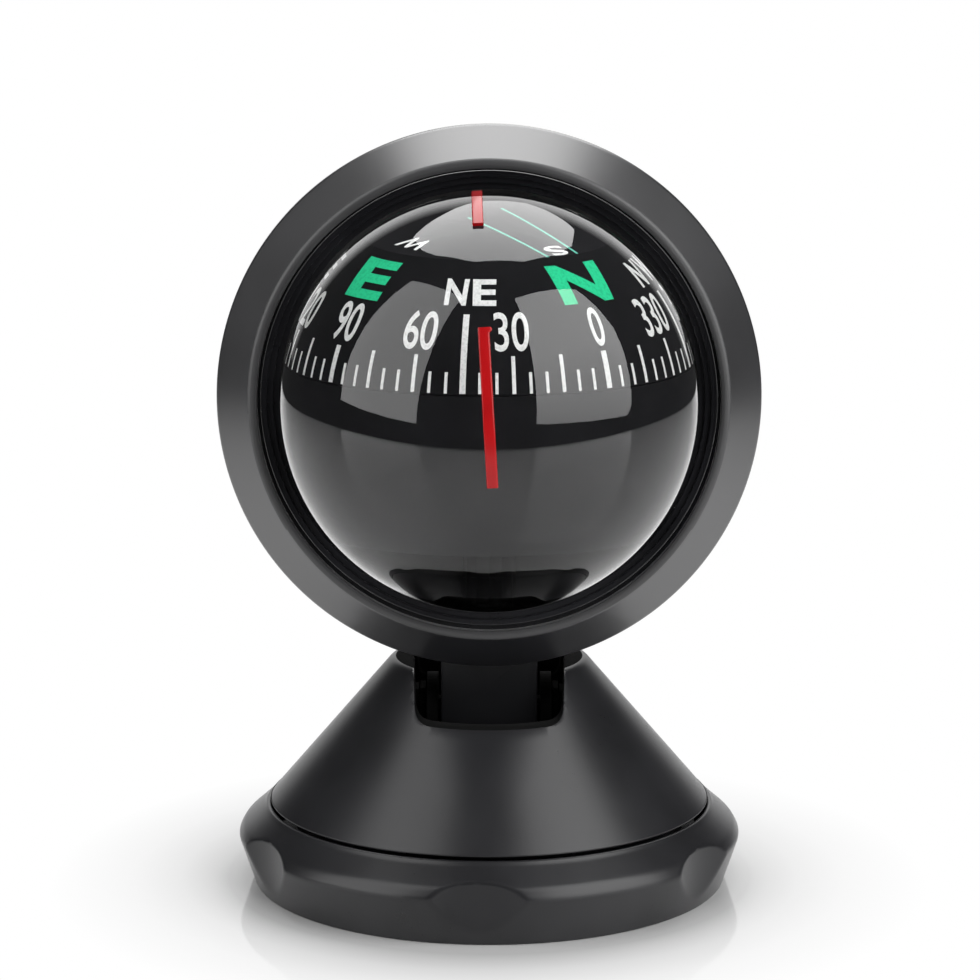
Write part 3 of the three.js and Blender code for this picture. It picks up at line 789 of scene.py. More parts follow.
slot_solid = prism("slot_solid", slot_outline(SLOT_FLOOR), -SLOT_LENGTH, SILL_PLACE, foot_place)
sill_solid = prism("sill_solid", slot_outline(SILL_TOP), SILL_PLACE - SILL_OVERLAP, SLOT_LENGTH,
                   foot_place)
carved(cone, CONE_EDGE, cuts=[slot_solid, sill_solid])
cone.data.materials.append(black_and_painted_shade)
# Faces inside the skin get the near-black finish, which paints the shade under the head.
for face in cone.data.polygons:
    x, y, z = face.center / MM
    share = (z - CONE_BOTTOM) / (CONE_TOP - CONE_BOTTOM)
    slope_radius = SEAM_RADIUS + (CONE_TOP_RADIUS - SEAM_RADIUS) * share
    by_slot = abs(x) < SLOT_HALF + CONE_EDGE and z < CONE_TOP - TOP_ROUND
    if math.hypot(x, y) < slope_radius - (THIN_SKIN if by_slot else THICK_SKIN):
        face.material_index = 1
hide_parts("cone_housing")
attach(cone, "turret")
print("cone faces", len(cone.data.polygons))

# %% [markdown]
# ## The bezel
# The bezel has a worn, duller lip that traps the stepped ring, a broad polished slope and a
# rim. It shows most of the light in the picture, so its outline follows the real one closely.
# It sits a seventh of a millimetre lower than the CAD's, where the picture has it. Mirror rays
# pass it, as they pass the ring and the bowl behind it: the edge of the real dome mirrors the
# pale room, and these three would fill that narrow edge with black.

# %% Front bezel
LIP_RADIUS = 21.95
LIP_BORE = 21.10
LIP_BACK = -3.46
BEZEL_BORE = 21.60
BEZEL_BACK = -8.66
BEZEL_DROP = -0.15

bezel = turned("bezel_skin", softened([
    (LIP_BORE, LIP_BACK, 0.05), (LIP_BORE, -2.46, 0.06), (21.40, -2.42, 0.1), (21.85, -2.50, 0.3),
    (25.00, -6.36, 0.30), (25.1, -6.70, 0.12), (24.99, -7.15, 0.20), (24.75, BEZEL_BACK, 0.18),
    (BEZEL_BORE, BEZEL_BACK, 0.1), (BEZEL_BORE, LIP_BACK, 0.05),
]), head_place @ Matrix.Translation((0, BEZEL_DROP, 0)), bezel_black, lip_black)
to_head = head_place.inverted()
for face in bezel.data.polygons:
    if (to_head @ (face.center / MM)).xy.length < LIP_RADIUS:
        face.material_index = 1
bezel.visible_glossy = False
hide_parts("front_bezel")
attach(bezel, "head")
print("bezel faces", len(bezel.data.polygons))

# %% [markdown]
# ## The stepped ring
# Between the bezel and the dome lies a glossy ring that falls in three steps towards the dome.
# Its small rounded edges catch thin circles of light. The steps are alike, so a loop gives each
# one its edge towards the dome and the corner at the foot of the next.

# %% Seat ring
SEAT_BORE = 19.10
SEAT_TOP_RADIUS = 20.80
STEP_RADII = (SEAT_BORE, 19.667, 20.233, SEAT_TOP_RADIUS)
STEP_FRONTS = (-3.86, -3.46, -3.06)
STEP_EDGE = 0.09
STEP_CORNER = 0.05
SEAT_RIM = 21.30
SEAT_BACK = -4.26
RIM_FRONT = -3.76
RIM_EDGE = 0.03

seat_outline = [(SEAT_BORE, SEAT_BACK, RIM_EDGE)]
for inner, outer, front in zip(STEP_RADII, STEP_RADII[1:], STEP_FRONTS):
    end_rounding = STEP_EDGE if outer == SEAT_TOP_RADIUS else STEP_CORNER
    seat_outline += [(inner, front, STEP_EDGE), (outer, front, end_rounding)]
seat_outline += [
    (SEAT_TOP_RADIUS, RIM_FRONT, RIM_EDGE), (SEAT_RIM, RIM_FRONT, RIM_EDGE),
    (SEAT_RIM, SEAT_BACK, RIM_EDGE),
]
seat_ring = turned("stepped_ring", softened(seat_outline), head_place, gloss_black)
seat_ring.visible_glossy = False
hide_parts("seat_ring")
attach(seat_ring, "head")
print("ring faces", len(seat_ring.data.polygons))

# %% [markdown]
# ## The dome and the cup behind it
# The dome is half a ball with a short collar and a flange. The black cup closes it from behind.
# The inner faces of the dome get the second clear material, by how far they are from the axis.

# %% Capsule dome
DOME_RADIUS = 18.8
DOME_INNER = 17.5
FLANGE_RADIUS = 20.3
FLANGE_FRONT = -4.56
FLANGE_BACK = -5.86
DOME_STEPS = 64

dome_outline = [
    *arc(DOME_RADIUS, 90, 0, DOME_STEPS),
    *[Vector(p) for p in ((DOME_RADIUS, FLANGE_FRONT), (FLANGE_RADIUS, FLANGE_FRONT),
                          (FLANGE_RADIUS, FLANGE_BACK), (DOME_INNER, FLANGE_BACK))],
    *arc(DOME_INNER, 0, 90, DOME_STEPS),
]
dome = turned("clear_dome", dome_outline, head_place, clear_acrylic, clear_inside)
for face in dome.data.polygons:
    local = to_head @ (face.center / MM)
    reach = local.length if local.z > 0 else local.xy.length
    if reach < (DOME_RADIUS + DOME_INNER) / 2:
        face.material_index = 1
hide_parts("capsule_dome")
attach(dome, "head")
inner_faces = sum(face.material_index for face in dome.data.polygons)
print("dome faces", len(dome.data.polygons), "of them inside", inner_faces)

# %% Capsule cup
CUP_OUTER = 18.7
CUP_FLANGE_FRONT = -7.06
CUP_FLANGE_BACK = -8.36
CUP_STEPS = 32

inner_start = math.degrees(math.asin(CUP_FLANGE_FRONT / DOME_INNER))
outer_start = math.degrees(math.asin(CUP_FLANGE_BACK / CUP_OUTER))
cup_outline = [
    *arc(DOME_INNER, -90, inner_start, CUP_STEPS),
    Vector((FLANGE_RADIUS, CUP_FLANGE_FRONT)), Vector((FLANGE_RADIUS, CUP_FLANGE_BACK)),
    *arc(CUP_OUTER, outer_start, -90, CUP_STEPS),
]
cup = turned("capsule_cup_skin", cup_outline, head_place, black_and_painted_shade, sides=SIDES // 2)
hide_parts("capsule_cup", "filler_plug")
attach(cup, "head")
print("cup faces", len(cup.data.polygons))

# %% [markdown]
# ## The card
# The card is a smaller half ball with a flat crown, and a skirt below it. They meet at a fine
# line, from which the ticks rise. The card turns to the north inside the ball, so in this
# picture its zero mark is to the right of the front.

# %% Card dome and skirt
CARD_RADIUS = 16.55
CARD_INNER = 15.45
CARD_HEADING = 37.3
PARTING = 11.2
PARTING_GAP = 0.1
CROWN_RADIUS = 9.8
SKIRT_END = -40.0
SKIRT_BORE = 14.8
WEB_BOTTOM = 1.3
WEB_TOP = 2.5
CARD_STEPS = 48

parting_height = CARD_RADIUS * math.sin(math.radians(PARTING))
inner_parting = math.degrees(math.asin(parting_height / CARD_INNER))
crown_latitude = math.degrees(math.acos(CROWN_RADIUS / CARD_RADIUS))
crown_height = CARD_RADIUS * math.sin(math.radians(crown_latitude))
inner_height = crown_height - (CARD_RADIUS - CARD_INNER)
inner_crown = math.degrees(math.asin(inner_height / CARD_INNER))
card_dome = turned("card_ball", [
    Vector((0, inner_height)), *arc(CARD_INNER, inner_crown, inner_parting, CARD_STEPS),
    *arc(CARD_RADIUS, PARTING, crown_latitude, CARD_STEPS), Vector((0, crown_height)),
], card_place, card_black)
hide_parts("card_dome")
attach(card_dome, "card")

skirt_top = parting_height - PARTING_GAP
skirt_start = math.degrees(math.asin(skirt_top / CARD_RADIUS))
web_angle = math.degrees(math.asin(WEB_BOTTOM / CARD_INNER))
skirt_outline = [
    Vector((0, WEB_BOTTOM)), *arc(CARD_INNER, web_angle, SKIRT_END, CARD_STEPS),
    *arc(CARD_RADIUS, SKIRT_END, skirt_start, CARD_STEPS),
    Vector((SKIRT_BORE, skirt_top)), Vector((SKIRT_BORE, WEB_TOP)), Vector((0, WEB_TOP)),
]
card_skirt = turned("card_skirt_skin", skirt_outline, card_place, card_black)
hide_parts("card_skirt")
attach(card_skirt, "card")
print("card faces", len(card_dome.data.polygons), len(card_skirt.data.polygons))

# %% [markdown]
# ## Ticks round the card
# A tick stands at every five degrees: a short one, a longer one at every fifteen, and a thick
# one at every forty-five. One Geometry Nodes tree makes any of the rows. It puts a small flat
# bar on each point, remembers the point's heading, and then bends all the bars to the ball.

# %% The tree that makes a row of ticks
ticks, sizes, result = size_tree(
    "Card ticks",
    {"Count": "Int", "First Heading": "Float", "Skip": "Int", "Width": "Float",
     "Low": "Float", "High": "Float", "Ball Radius": "Float", "Ink": "Float",
     "Front Heading": "Float", "Centre": "Vector", "Finish": "Material"},
)
number = ticks.node("GeometryNodeInputIndex")[0]
points = ticks.node("GeometryNodeMeshLine", {}, {"Count": sizes["Count"], "Offset": (0, 0, 0)})
skipped = ticks.node("ShaderNodeMath", {"operation": "FLOORED_MODULO"},
                     {0: number, 1: ticks.sum("MAXIMUM", sizes["Skip"], 1.0)})[0]
gone = (skipped < 0.5) * (sizes["Skip"] > 0.5)
heading = sizes["First Heading"] + number * (2 * math.pi / sizes["Count"])
headed = ticks.node(
    "GeometryNodeStoreNamedAttribute", {"data_type": "FLOAT"},
    {"Geometry": points[0], "Name": "heading", "Value": heading},
)
kept = ticks.node("GeometryNodeDeleteGeometry", {}, {"Geometry": headed[0], "Selection": gone})
height = sizes["High"] - sizes["Low"]
bar_size = ticks.node("ShaderNodeCombineXYZ", {}, {0: sizes["Width"], 1: height, 2: sizes["Ink"]})
bar = ticks.node(
    "GeometryNodeMeshCube", {}, {"Size": bar_size[0], "Vertices X": 2, "Vertices Y": 8,
                                 "Vertices Z": 2},
)
bars = ticks.node("GeometryNodeInstanceOnPoints", {}, {"Points": kept[0], "Instance": bar[0]})
flat = ticks.node("GeometryNodeRealizeInstances", {}, {0: bars[0]})
own = ticks.node("GeometryNodeInputNamedAttribute", {"data_type": "FLOAT"}, {"Name": "heading"})
spot = ticks.node("GeometryNodeInputPosition")[0]
parts = ticks.node("ShaderNodeSeparateXYZ", {}, {0: spot})
latitude = (sizes["Low"] + sizes["High"]) / 2 + parts["Y"]
latitude = latitude / sizes["Ball Radius"]
reach = sizes["Ball Radius"] + parts["Z"]
level = reach * ticks.sum("COSINE", latitude)
across = sizes["Front Heading"] - own["Attribute"] + parts["X"] / level
bent = ticks.node("ShaderNodeCombineXYZ", {}, {
    0: level * ticks.sum("SINE", across),
    1: 0 - level * ticks.sum("COSINE", across),
    2: reach * ticks.sum("SINE", latitude),
})[0]
placed = ticks.node(
    "GeometryNodeSetPosition", {},
    {"Geometry": flat[0], "Position": ticks.vector("ADD", bent, sizes["Centre"])},
)
coated = ticks.node(
    "GeometryNodeSetMaterial", {}, {"Geometry": placed[0], "Material": sizes["Finish"]}
)
ticks.link(coated[0], result, 0)
print("tick tree nodes", len(ticks.tree.nodes))

# %% [markdown]
# Four rows come out of the one tree. Latitudes are given in degrees above the card's equator
# and are turned into lengths along the ball, so that a bar keeps its real height. Of the two
# finer rows, each third bar is left out, because a bar of the next row stands there.

# %% Four rows of ticks
INK_DEPTH = 0.05
FIVES = 72
FIFTEENS = 24
QUARTERS = 4
EACH_THIRD = 3
NO_SKIP = 0
TICK_LOW = PARTING + 0.35
FINE_HIGH = 17.6
MEDIUM_HIGH = 22.3
BETWEEN_HIGH = 34.8
FINE_WIDTH = 0.25
MEDIUM_WIDTH = 0.31
THICK_WIDTH = 0.50


def along(latitude):
    """A latitude in degrees as a length along the card, in metres."""
    return math.radians(latitude) * CARD_RADIUS * MM


def tick_row(name, count, first, skip, width, high):
    """One row of ticks."""
    start = bpy.data.objects.new(name, bpy.data.meshes.new(name))
    bpy.context.scene.collection.objects.link(start)
    grown(start, ticks, {
        "Count": count,
        "First Heading": math.radians(first),
        "Skip": skip,
        "Width": width * MM,
        "Low": along(TICK_LOW),
        "High": along(high),
        "Ball Radius": CARD_RADIUS * MM,
        "Ink": 2 * INK_DEPTH * MM,
        "Front Heading": math.radians(CARD_HEADING),
        "Centre": dome_centre * MM,
        "Finish": white_ink,
    })
    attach(start, "card")
    print(name, len(start.data.polygons), "faces")


tick_row("ticks_fine", FIVES, 0, EACH_THIRD, FINE_WIDTH, FINE_HIGH)
tick_row("ticks_medium", FIFTEENS, 0, EACH_THIRD, MEDIUM_WIDTH, MEDIUM_HIGH)
tick_row("ticks_cardinal", QUARTERS, 0, NO_SKIP, THICK_WIDTH, MEDIUM_HIGH)
tick_row("ticks_between", QUARTERS, 45, NO_SKIP, THICK_WIDTH, BETWEEN_HIGH)

# %% [markdown]
# ## Numbers and letters
# Text could be painted in the material, but printed ink has an edge and a thickness, so each
# word is a text object, made a mesh, fitted to its real size, cut into short lengths and bent
# to the ball. The small letters lie flat on the crown. They are read from the other side, so
# they stand on their heads here.

# %% Words bent to the card
CUT_LENGTH = 0.5
LETTER_WELD = 0.005
LETTER_CURVE_STEPS = 6


def sliced(maker, low, high, axis):
    """Cuts a flat mesh into short lengths along one axis, so that it can bend."""
    normal = Vector((axis == 0, axis == 1, 0))
    place = low + CUT_LENGTH
    while place < high:
        geometry = maker.verts[:] + maker.edges[:] + maker.faces[:]
        bmesh.ops.bisect_plane(maker, geom=geometry, plane_co=normal * place, plane_no=normal)
        place += CUT_LENGTH


def letters(name, word, width, height, boldness):
    """A flat word as a bmesh, with its middle on x = 0 and its foot on y = 0."""
    text = bpy.data.curves.new(name, "FONT")
    text.body = word
    text.offset = boldness
    text.resolution_u = LETTER_CURVE_STEPS
    text.extrude = INK_DEPTH
    source = bpy.data.objects.new(name, text)
    bpy.context.scene.collection.objects.link(source)
    bpy.context.view_layer.update()
    graph = bpy.context.evaluated_depsgraph_get()
    mesh = bpy.data.meshes.new_from_object(source.evaluated_get(graph))
    bpy.data.objects.remove(source)
    maker = bmesh.new()
    maker.from_mesh(mesh)
    xs = [v.co.x for v in maker.verts]
    ys = [v.co.y for v in maker.verts]
    for v in maker.verts:
        v.co.x = ((v.co.x - min(xs)) / (max(xs) - min(xs)) - 0.5) * width
        v.co.y = (v.co.y - min(ys)) / (max(ys) - min(ys)) * height
    bmesh.ops.remove_doubles(maker, verts=maker.verts, dist=LETTER_WELD)
    sliced(maker, -width / 2, width / 2, 0)
    sliced(maker, 0, height, 1)
    return maker


def on_card(maker, heading, low):
    """Bends a flat mesh to the ball at a heading, with its foot at a latitude."""
    middle = math.radians(CARD_HEADING - heading)
    for v in maker.verts:
        x, y, z = v.co
        reach = CARD_RADIUS + z
        latitude = math.radians(low) + y / CARD_RADIUS
        level = reach * math.cos(latitude)
        turn = middle + x / level
        up = reach * math.sin(latitude)
        spot = Vector((level * math.sin(turn), -level * math.cos(turn), up))
        v.co = (card_place @ spot) * MM


def word_on_card(name, word, heading, low, high, width, boldness, material):
    """Prints one word on the card."""
    height = math.radians(high - low) * CARD_RADIUS
    maker = letters(name, word, width, height, boldness)
    on_card(maker, heading, low)
    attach(piece(name, maker, material), "card")


print("letters ready")

# %% The numbers, from 0 to 330
NUMBER_STEP = 30
NUMBER_LOW = 23.7
NUMBER_HIGH = 35.5
DIGIT_WIDTHS = {1: 1.25, 2: 2.86, 3: 4.30}
NUMBER_BOLD = 0.010

for heading in range(0, 360, NUMBER_STEP):
    word = str(heading)
    word_on_card(f"number_{heading}", word, heading, NUMBER_LOW, NUMBER_HIGH,
                 DIGIT_WIDTHS[len(word)], NUMBER_BOLD, white_ink)
print("numbers", 360 // NUMBER_STEP)

# %% [markdown]
# The four big letters are green. Nearer to the middle, a small white letter of the opposite
# direction belongs to each. Between them stand the pairs, such as NE, whose two letters are
# placed one by one, so that the gap between them is the real one.

# %% The letters of the directions
BIG_LOW = 36.9
BIG_HIGH = 50.5
BIG_WIDTHS = {"N": 5.1, "E": 4.25, "S": 4.1, "W": 5.6}
BIG_BOLD = 0.04
BIG_SHIFTS = {"N": -1.6}
MIDDLE_LOW = 37.6
MIDDLE_HIGH = 46.5
MIDDLE_GAP = 0.42
MIDDLE_WIDTHS = {"N": 1.83, "E": 1.93, "S": 1.85, "W": 2.75}
MIDDLE_BOLD = 0.03
MIDDLE_SHIFT = -0.8
SMALL_HEIGHT = 2.1
SMALL_WIDTHS = {"N": 1.9, "E": 1.6, "S": 1.65, "W": 2.75}
SMALL_BOLD = 0.012
SMALL_FOOT = 6.95
SMALL_FEET = {"W": 6.6, "S": 7.3}
OPPOSITE = {"N": "S", "E": "W", "S": "N", "W": "E"}
CROWN_SHIFT = Vector((0.27, 0, 0))


def on_crown(maker, heading, foot):
    """Lays a flat word on the crown, its foot at this distance from the middle."""
    turn = Matrix.Rotation(math.radians(CARD_HEADING - heading), 4, "Z")
    for v in maker.verts:
        x, y, z = v.co
        spot = turn @ Vector((-x, -foot - y, crown_height + z))
        v.co = (card_place @ (spot + CROWN_SHIFT)) * MM


for i, letter in enumerate("NESW"):
    heading = 90 * i + BIG_SHIFTS.get(letter, 0)
    word_on_card(f"letter_{letter}", letter, heading, BIG_LOW, BIG_HIGH, BIG_WIDTHS[letter],
                 BIG_BOLD, green_ink)
    far = OPPOSITE[letter]
    small = letters(f"small_{far}", far, SMALL_WIDTHS[far], SMALL_HEIGHT, SMALL_BOLD)
    on_crown(small, 90 * i, SMALL_FEET.get(far, SMALL_FOOT))
    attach(piece(f"letter_small_{far}", small, white_ink), "card")
middle_level = CARD_RADIUS * math.cos(math.radians((MIDDLE_LOW + MIDDLE_HIGH) / 2))
for i, pair in enumerate(("NE", "SE", "SW", "NW")):
    widths = [MIDDLE_WIDTHS[letter] for letter in pair]
    full = sum(widths) + MIDDLE_GAP
    for letter, width, place in zip(pair, widths, (widths[0] - full, full - widths[1])):
        heading = 45 + 90 * i + MIDDLE_SHIFT - math.degrees(place / 2 / middle_level)
        word_on_card(f"letters_{pair}_{letter}", letter, heading, MIDDLE_LOW, MIDDLE_HIGH, width,
                     MIDDLE_BOLD, white_ink)
letter_pieces = [made for made in bpy.data.objects if made.name.startswith("letter")]
print("direction letters", len(letter_pieces))

# %% [markdown]
# Two thin green lines run over the flat crown, along the card's north and south axis. Each is
# a narrow flat bar.

# %% The two lines over the top
LINE_OFF = 1.47
LINE_SHIFT = 0.2
LINE_NORTH_END = -9.6
LINE_SOUTH_END = 0.8
LINE_WIDTH = 0.19

card_turn = Matrix.Rotation(math.radians(CARD_HEADING), 4, "Z")
line_length = LINE_SOUTH_END - LINE_NORTH_END
line_middle = (LINE_NORTH_END + LINE_SOUTH_END) / 2
for side, name in ((-1, "axis_line_west"), (1, "axis_line_east")):
    maker = bmesh.new()
    bmesh.ops.create_cube(maker, size=1)
    for v in maker.verts:
        x = LINE_SHIFT + side * LINE_OFF + v.co.x * LINE_WIDTH
        y = line_middle + v.co.y * line_length
        z = crown_height + v.co.z * 2 * INK_DEPTH
        v.co = (card_place @ card_turn @ Vector((x, y, z))) * MM
    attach(piece(name, maker, line_ink), "card")
print("length of a line over the top", line_length)

# %% [markdown]
# ## The index lines
# Two red strips lie on the outside of the dome, one down the front and one over the top. Each
# is a rounded bar that follows the ball. The back end of the top one gets a darker, duller red
# that paints the shade of the ring, and the straight run behind is painted black as shade.

# %% A strip that follows the ball
STRIP_HALF = 0.49
STRIP_ROLL = math.radians(3.3)
STRIP_RADIUS = 18.97
STRIP_HALF_DEPTH = 0.15
STRIP_CORNER = 0.13
CORNER_STEPS = 3
PAINTED_SHADE_FROM = 79.5
strip_place = head_place @ Matrix.Rotation(STRIP_ROLL, 4, "Z")


def strip_section(extra):
    """The strip's rounded cross-section, as (across, outwards) pairs."""
    flat_half = STRIP_HALF - STRIP_CORNER
    deep = STRIP_HALF_DEPTH - STRIP_CORNER
    section = []
    for side, rise, first in ((1, 1, 0), (-1, 1, 90), (-1, -1, 180), (1, -1, 270)):
        for step in range(CORNER_STEPS + 1):
            turn = math.radians(first + 90 * step / CORNER_STEPS)
            across = side * flat_half + STRIP_CORNER * math.cos(turn)
            outwards = rise * deep + STRIP_CORNER * math.sin(turn)
            section.append((across + (extra if across > 0 else 0), outwards))
    return section


def index_strip(name, path):
    """A bar along a path of (angle, straight run back, extra width) stations."""
    maker = bmesh.new()
    rings = []
    for angle, run, extra in path:
        turn = math.radians(angle)
        out = Vector((0, math.sin(turn), math.cos(turn)))
        ring = []
        for across, outwards in strip_section(extra):
            spot = out * (STRIP_RADIUS + outwards) + Vector((across, 0, -run))
            ring.append(maker.verts.new((strip_place @ spot) * MM))
        rings.append(ring)
    maker.faces.new(rings[0])
    maker.faces.new(list(reversed(rings[-1])))
    for first, second in zip(rings, rings[1:]):
        for i in range(len(first)):
            j = (i + 1) % len(first)
            maker.faces.new((first[i], first[j], second[j], second[i]))
    strip = piece(name, maker, red_plastic, painted_shade_red, black_and_painted_shade)
    # Faces far back over the top get painted shade: a darker red on the ball and black on the run
    # behind.
    for face in strip.data.polygons:
        local = to_head @ (face.center / MM)
        if math.degrees(math.atan2(local.y, local.z)) > PAINTED_SHADE_FROM:
            face.material_index = 1 if local.z > 0 else 2
    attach(strip, "head")
    return strip


print("corners of a strip's cross-section", len(strip_section(0)))

# %% [markdown]
# The front line runs up the ball in equal steps, and four wider stations at its end make a
# small nib. The top line runs back over the ball and then straight on beside the dome's collar.

# %% The two index lines
FRONT_BOTTOM = -16.1
FRONT_TOP = 24.2
FRONT_STEPS = 36
NIB = 0.24
NIB_STATIONS = ((0.3, 0.2), (0.6, 0.8), (1.1, 1.0), (1.5, 0.7))
TOP_FRONT = 60.9
TOP_STEPS = 24
TOP_RUN = 3.5
RUN_STEPS = 4

front_turn = (FRONT_TOP - FRONT_BOTTOM) / FRONT_STEPS
front_path = [(FRONT_BOTTOM + front_turn * i, 0, 0) for i in range(FRONT_STEPS + 1)]
front_path += [(FRONT_TOP + further, 0, NIB * share) for further, share in NIB_STATIONS]
front_strip = index_strip("index_line_front", front_path)
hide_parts("lubber_line_front")
top_turn = (90 - TOP_FRONT) / TOP_STEPS
top_path = [(TOP_FRONT + top_turn * i, 0, 0) for i in range(TOP_STEPS + 1)]
top_path += [(90, TOP_RUN * (i + 1) / RUN_STEPS, 0) for i in range(RUN_STEPS)]
top_strip = index_strip("index_line_top", top_path)
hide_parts("lubber_line_top")
print("index strips", len(front_strip.data.polygons), len(top_strip.data.polygons))

# %% [markdown]
# ## The rear housing and its neck
# Behind the bezel is a deep bowl, and the neck is moulded on under it. The bowl is turned as a
# solid, joined to the neck, and only then hollowed, so that the neck never shows inside. Here
# are the solid and the hollow. The hollow starts ahead of the bowl, so that the cut is open.

# %% The bowl and its hollow
BOWL_RADIUS = 24.55
BOWL_DEPTH = 19.5
BOWL_FRONT = -8.96
BOWL_WALL = 1.8
BOWL_STEPS = 40
SPIGOT_FRONT = -7.06
SPIGOT_LEAD = -7.3
LEAD_RADIUS = 20.95
SPIGOT_RADIUS = 21.3
SHOULDER_RADIUS = 24.3
HOLLOW_FRONT = -6
SOCKET_RADIUS = 20.6
SOCKET_FLOOR = -8.66
LEDGE_RADIUS = 19.1
LEDGE_BACK = -11.86
UNDERCUT_RADIUS = 22.44


def bowl(wall):
    """The outline of the bowl less this wall, from its rim to its pole."""
    width = BOWL_RADIUS - wall
    depth = BOWL_DEPTH - wall
    return [Vector((p.x * width, BOWL_FRONT - p.y * depth)) for p in arc(1, 0, 90, BOWL_STEPS)]


housing = turned("rear_housing_skin", [
    Vector((0, SPIGOT_FRONT)), Vector((LEAD_RADIUS, SPIGOT_FRONT)),
    Vector((SPIGOT_RADIUS, SPIGOT_LEAD)), Vector((SPIGOT_RADIUS, BOWL_FRONT)),
    Vector((SHOULDER_RADIUS, BOWL_FRONT)), *bowl(0)[1:],
], head_place, satin_black)
hollow = turned("hollow_solid", [
    Vector((0, HOLLOW_FRONT)), Vector((SOCKET_RADIUS, HOLLOW_FRONT)),
    Vector((SOCKET_RADIUS, SOCKET_FLOOR)), Vector((LEDGE_RADIUS, SOCKET_FLOOR)),
    Vector((LEDGE_RADIUS, LEDGE_BACK)), Vector((UNDERCUT_RADIUS, LEDGE_BACK)),
    *[p for p in bowl(BOWL_WALL) if p.y < LEDGE_BACK],
], head_place)
print("bowl faces", len(housing.data.polygons), "hollow faces", len(hollow.data.polygons))

# %% [markdown]
# The neck is a flat bar with a round end, which the hinge bolt crosses. It is drawn as it looks
# from the side. Three screw channels run in from behind, and plain rods cut them. Mirror rays
# pass the bowl and its screws, as they pass the bezel.

# %% Neck, bolt hole and screw channels
NECK_HALF = 4.55
NECK_DEPTH = 4.0
PIN_HEIGHT = 16.0
NECK_TOP = 40.0
NECK_STEPS = 24
NECK_EDGE = 0.4
BOLT_HOLE = 1.65
BOLT_HOLE_END = 6
BOLT_HOLE_SIDES = 32
HOUSING_EDGE = 0.18
SCREW_COUNT = 3
SCREW_CIRCLE = 23.15
SCREW_FIRST = 90
SCREW_SEAT = -10.56
CHANNEL_RADIUS = 1.8
CHANNEL_END = -32
CHANNEL_SIDES = 48


def rod(name, radius, low, high, place, sides):
    """A plain round solid to cut a hole with."""
    outline = [Vector((0, low)), Vector((radius, low)), Vector((radius, high)), Vector((0, high))]
    return turned(name, outline, place, sides=sides)


neck_outline = [Vector((-NECK_DEPTH, NECK_TOP))]
for step in range(NECK_STEPS + 1):
    turn = math.pi * (1 + step / NECK_STEPS)
    height = PIN_HEIGHT + NECK_DEPTH * math.sin(turn)
    neck_outline.append(Vector((NECK_DEPTH * math.cos(turn), height)))
neck_outline.append(Vector((NECK_DEPTH, NECK_TOP)))
quarter_turn = Matrix.Rotation(math.radians(90), 4, "Z")
neck = prism("neck_solid", neck_outline, -NECK_HALF, NECK_HALF, quarter_turn, NECK_EDGE)
pin_place = Matrix.Translation((0, 0, PIN_HEIGHT)) @ Matrix.Rotation(math.radians(90), 4, "Y")
bolt_hole = rod("bolt_hole_solid", BOLT_HOLE, -BOLT_HOLE_END, BOLT_HOLE_END, pin_place,
                BOLT_HOLE_SIDES)
channels = []
for i in range(SCREW_COUNT):
    turn = math.radians(SCREW_FIRST + 360 / SCREW_COUNT * i)
    spot = Vector((SCREW_CIRCLE * math.cos(turn), SCREW_CIRCLE * math.sin(turn), 0))
    channel_place = head_place @ Matrix.Translation(spot)
    channels.append(rod(f"channel_solid_{i + 1}", CHANNEL_RADIUS, CHANNEL_END, SCREW_SEAT,
                        channel_place, CHANNEL_SIDES))
carved(housing, HOUSING_EDGE, cuts=[hollow, bolt_hole, *channels], joins=[neck])
housing.visible_glossy = False
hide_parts("rear_housing")
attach(housing, "head")
for i in range(SCREW_COUNT):
    frame["nodes"][f"housing_screw_{i + 1}"].visible_glossy = False
print("housing faces", len(housing.data.polygons))

# %% [markdown]
# ## Small metal and rubber parts
# The CAD nodes of the hinge, the screws and the seals already have the right shape. They only
# need finishes. A finish goes on the node itself, and neither its mesh nor its place changes.
# The hinge parts, the swivel parts, the bracket screws and the pivot post get near-black finishes,
# which paint the shade they lie in.

# %% Finishes for the remaining nodes
FINISHES = {
    "satin_black": satin_black, "black_rubber": rubber, "adhesive_foam": foam,
    "plated_steel": plated_steel, "magnet_steel": magnet_steel, "jewel": jewel,
}
# The parts in these two lists get near-black finishes that paint the shade they lie in.
NODES_IN_PAINTED_SHADE = ("hinge_bolt", "hinge_nut", "hinge_bracket", "hinge_washer_left",
                    "hinge_washer_right", "pivot_post")
NODES_IN_MATT_SHADE = ("swivel_screw", "swivel_washer", "swivel_nut", "bracket_screw_1",
                    "bracket_screw_2")

slot_of = {part["node"]: part["material_slot"] for part in frame["record"]["subparts"]}
finished = 0
for node_name, node_object in frame["nodes"].items():
    if node_object.hide_render:
        continue
    if node_name in NODES_IN_PAINTED_SHADE:
        material = black_and_painted_shade
    elif node_name in NODES_IN_MATT_SHADE:
        material = matt_painted_shade
    else:
        material = FINISHES[slot_of[node_name]]
    for slot in node_object.material_slots:
        slot.material = material
    finished += 1
print("nodes with a new finish", finished)

# %% [markdown]
# ## The floor
# The compass stands on a plain white table that is a little shiny, so it shows a weak mirror
# image right under the foot. The table is a wide oval. Beyond it mirror rays meet only the dim
# room, and so they do in a narrow strip behind the foot, which paints the compass's shade on
# the table. For the camera the table is grey near the foot, which paints shade round it, and
# further out it glows white.

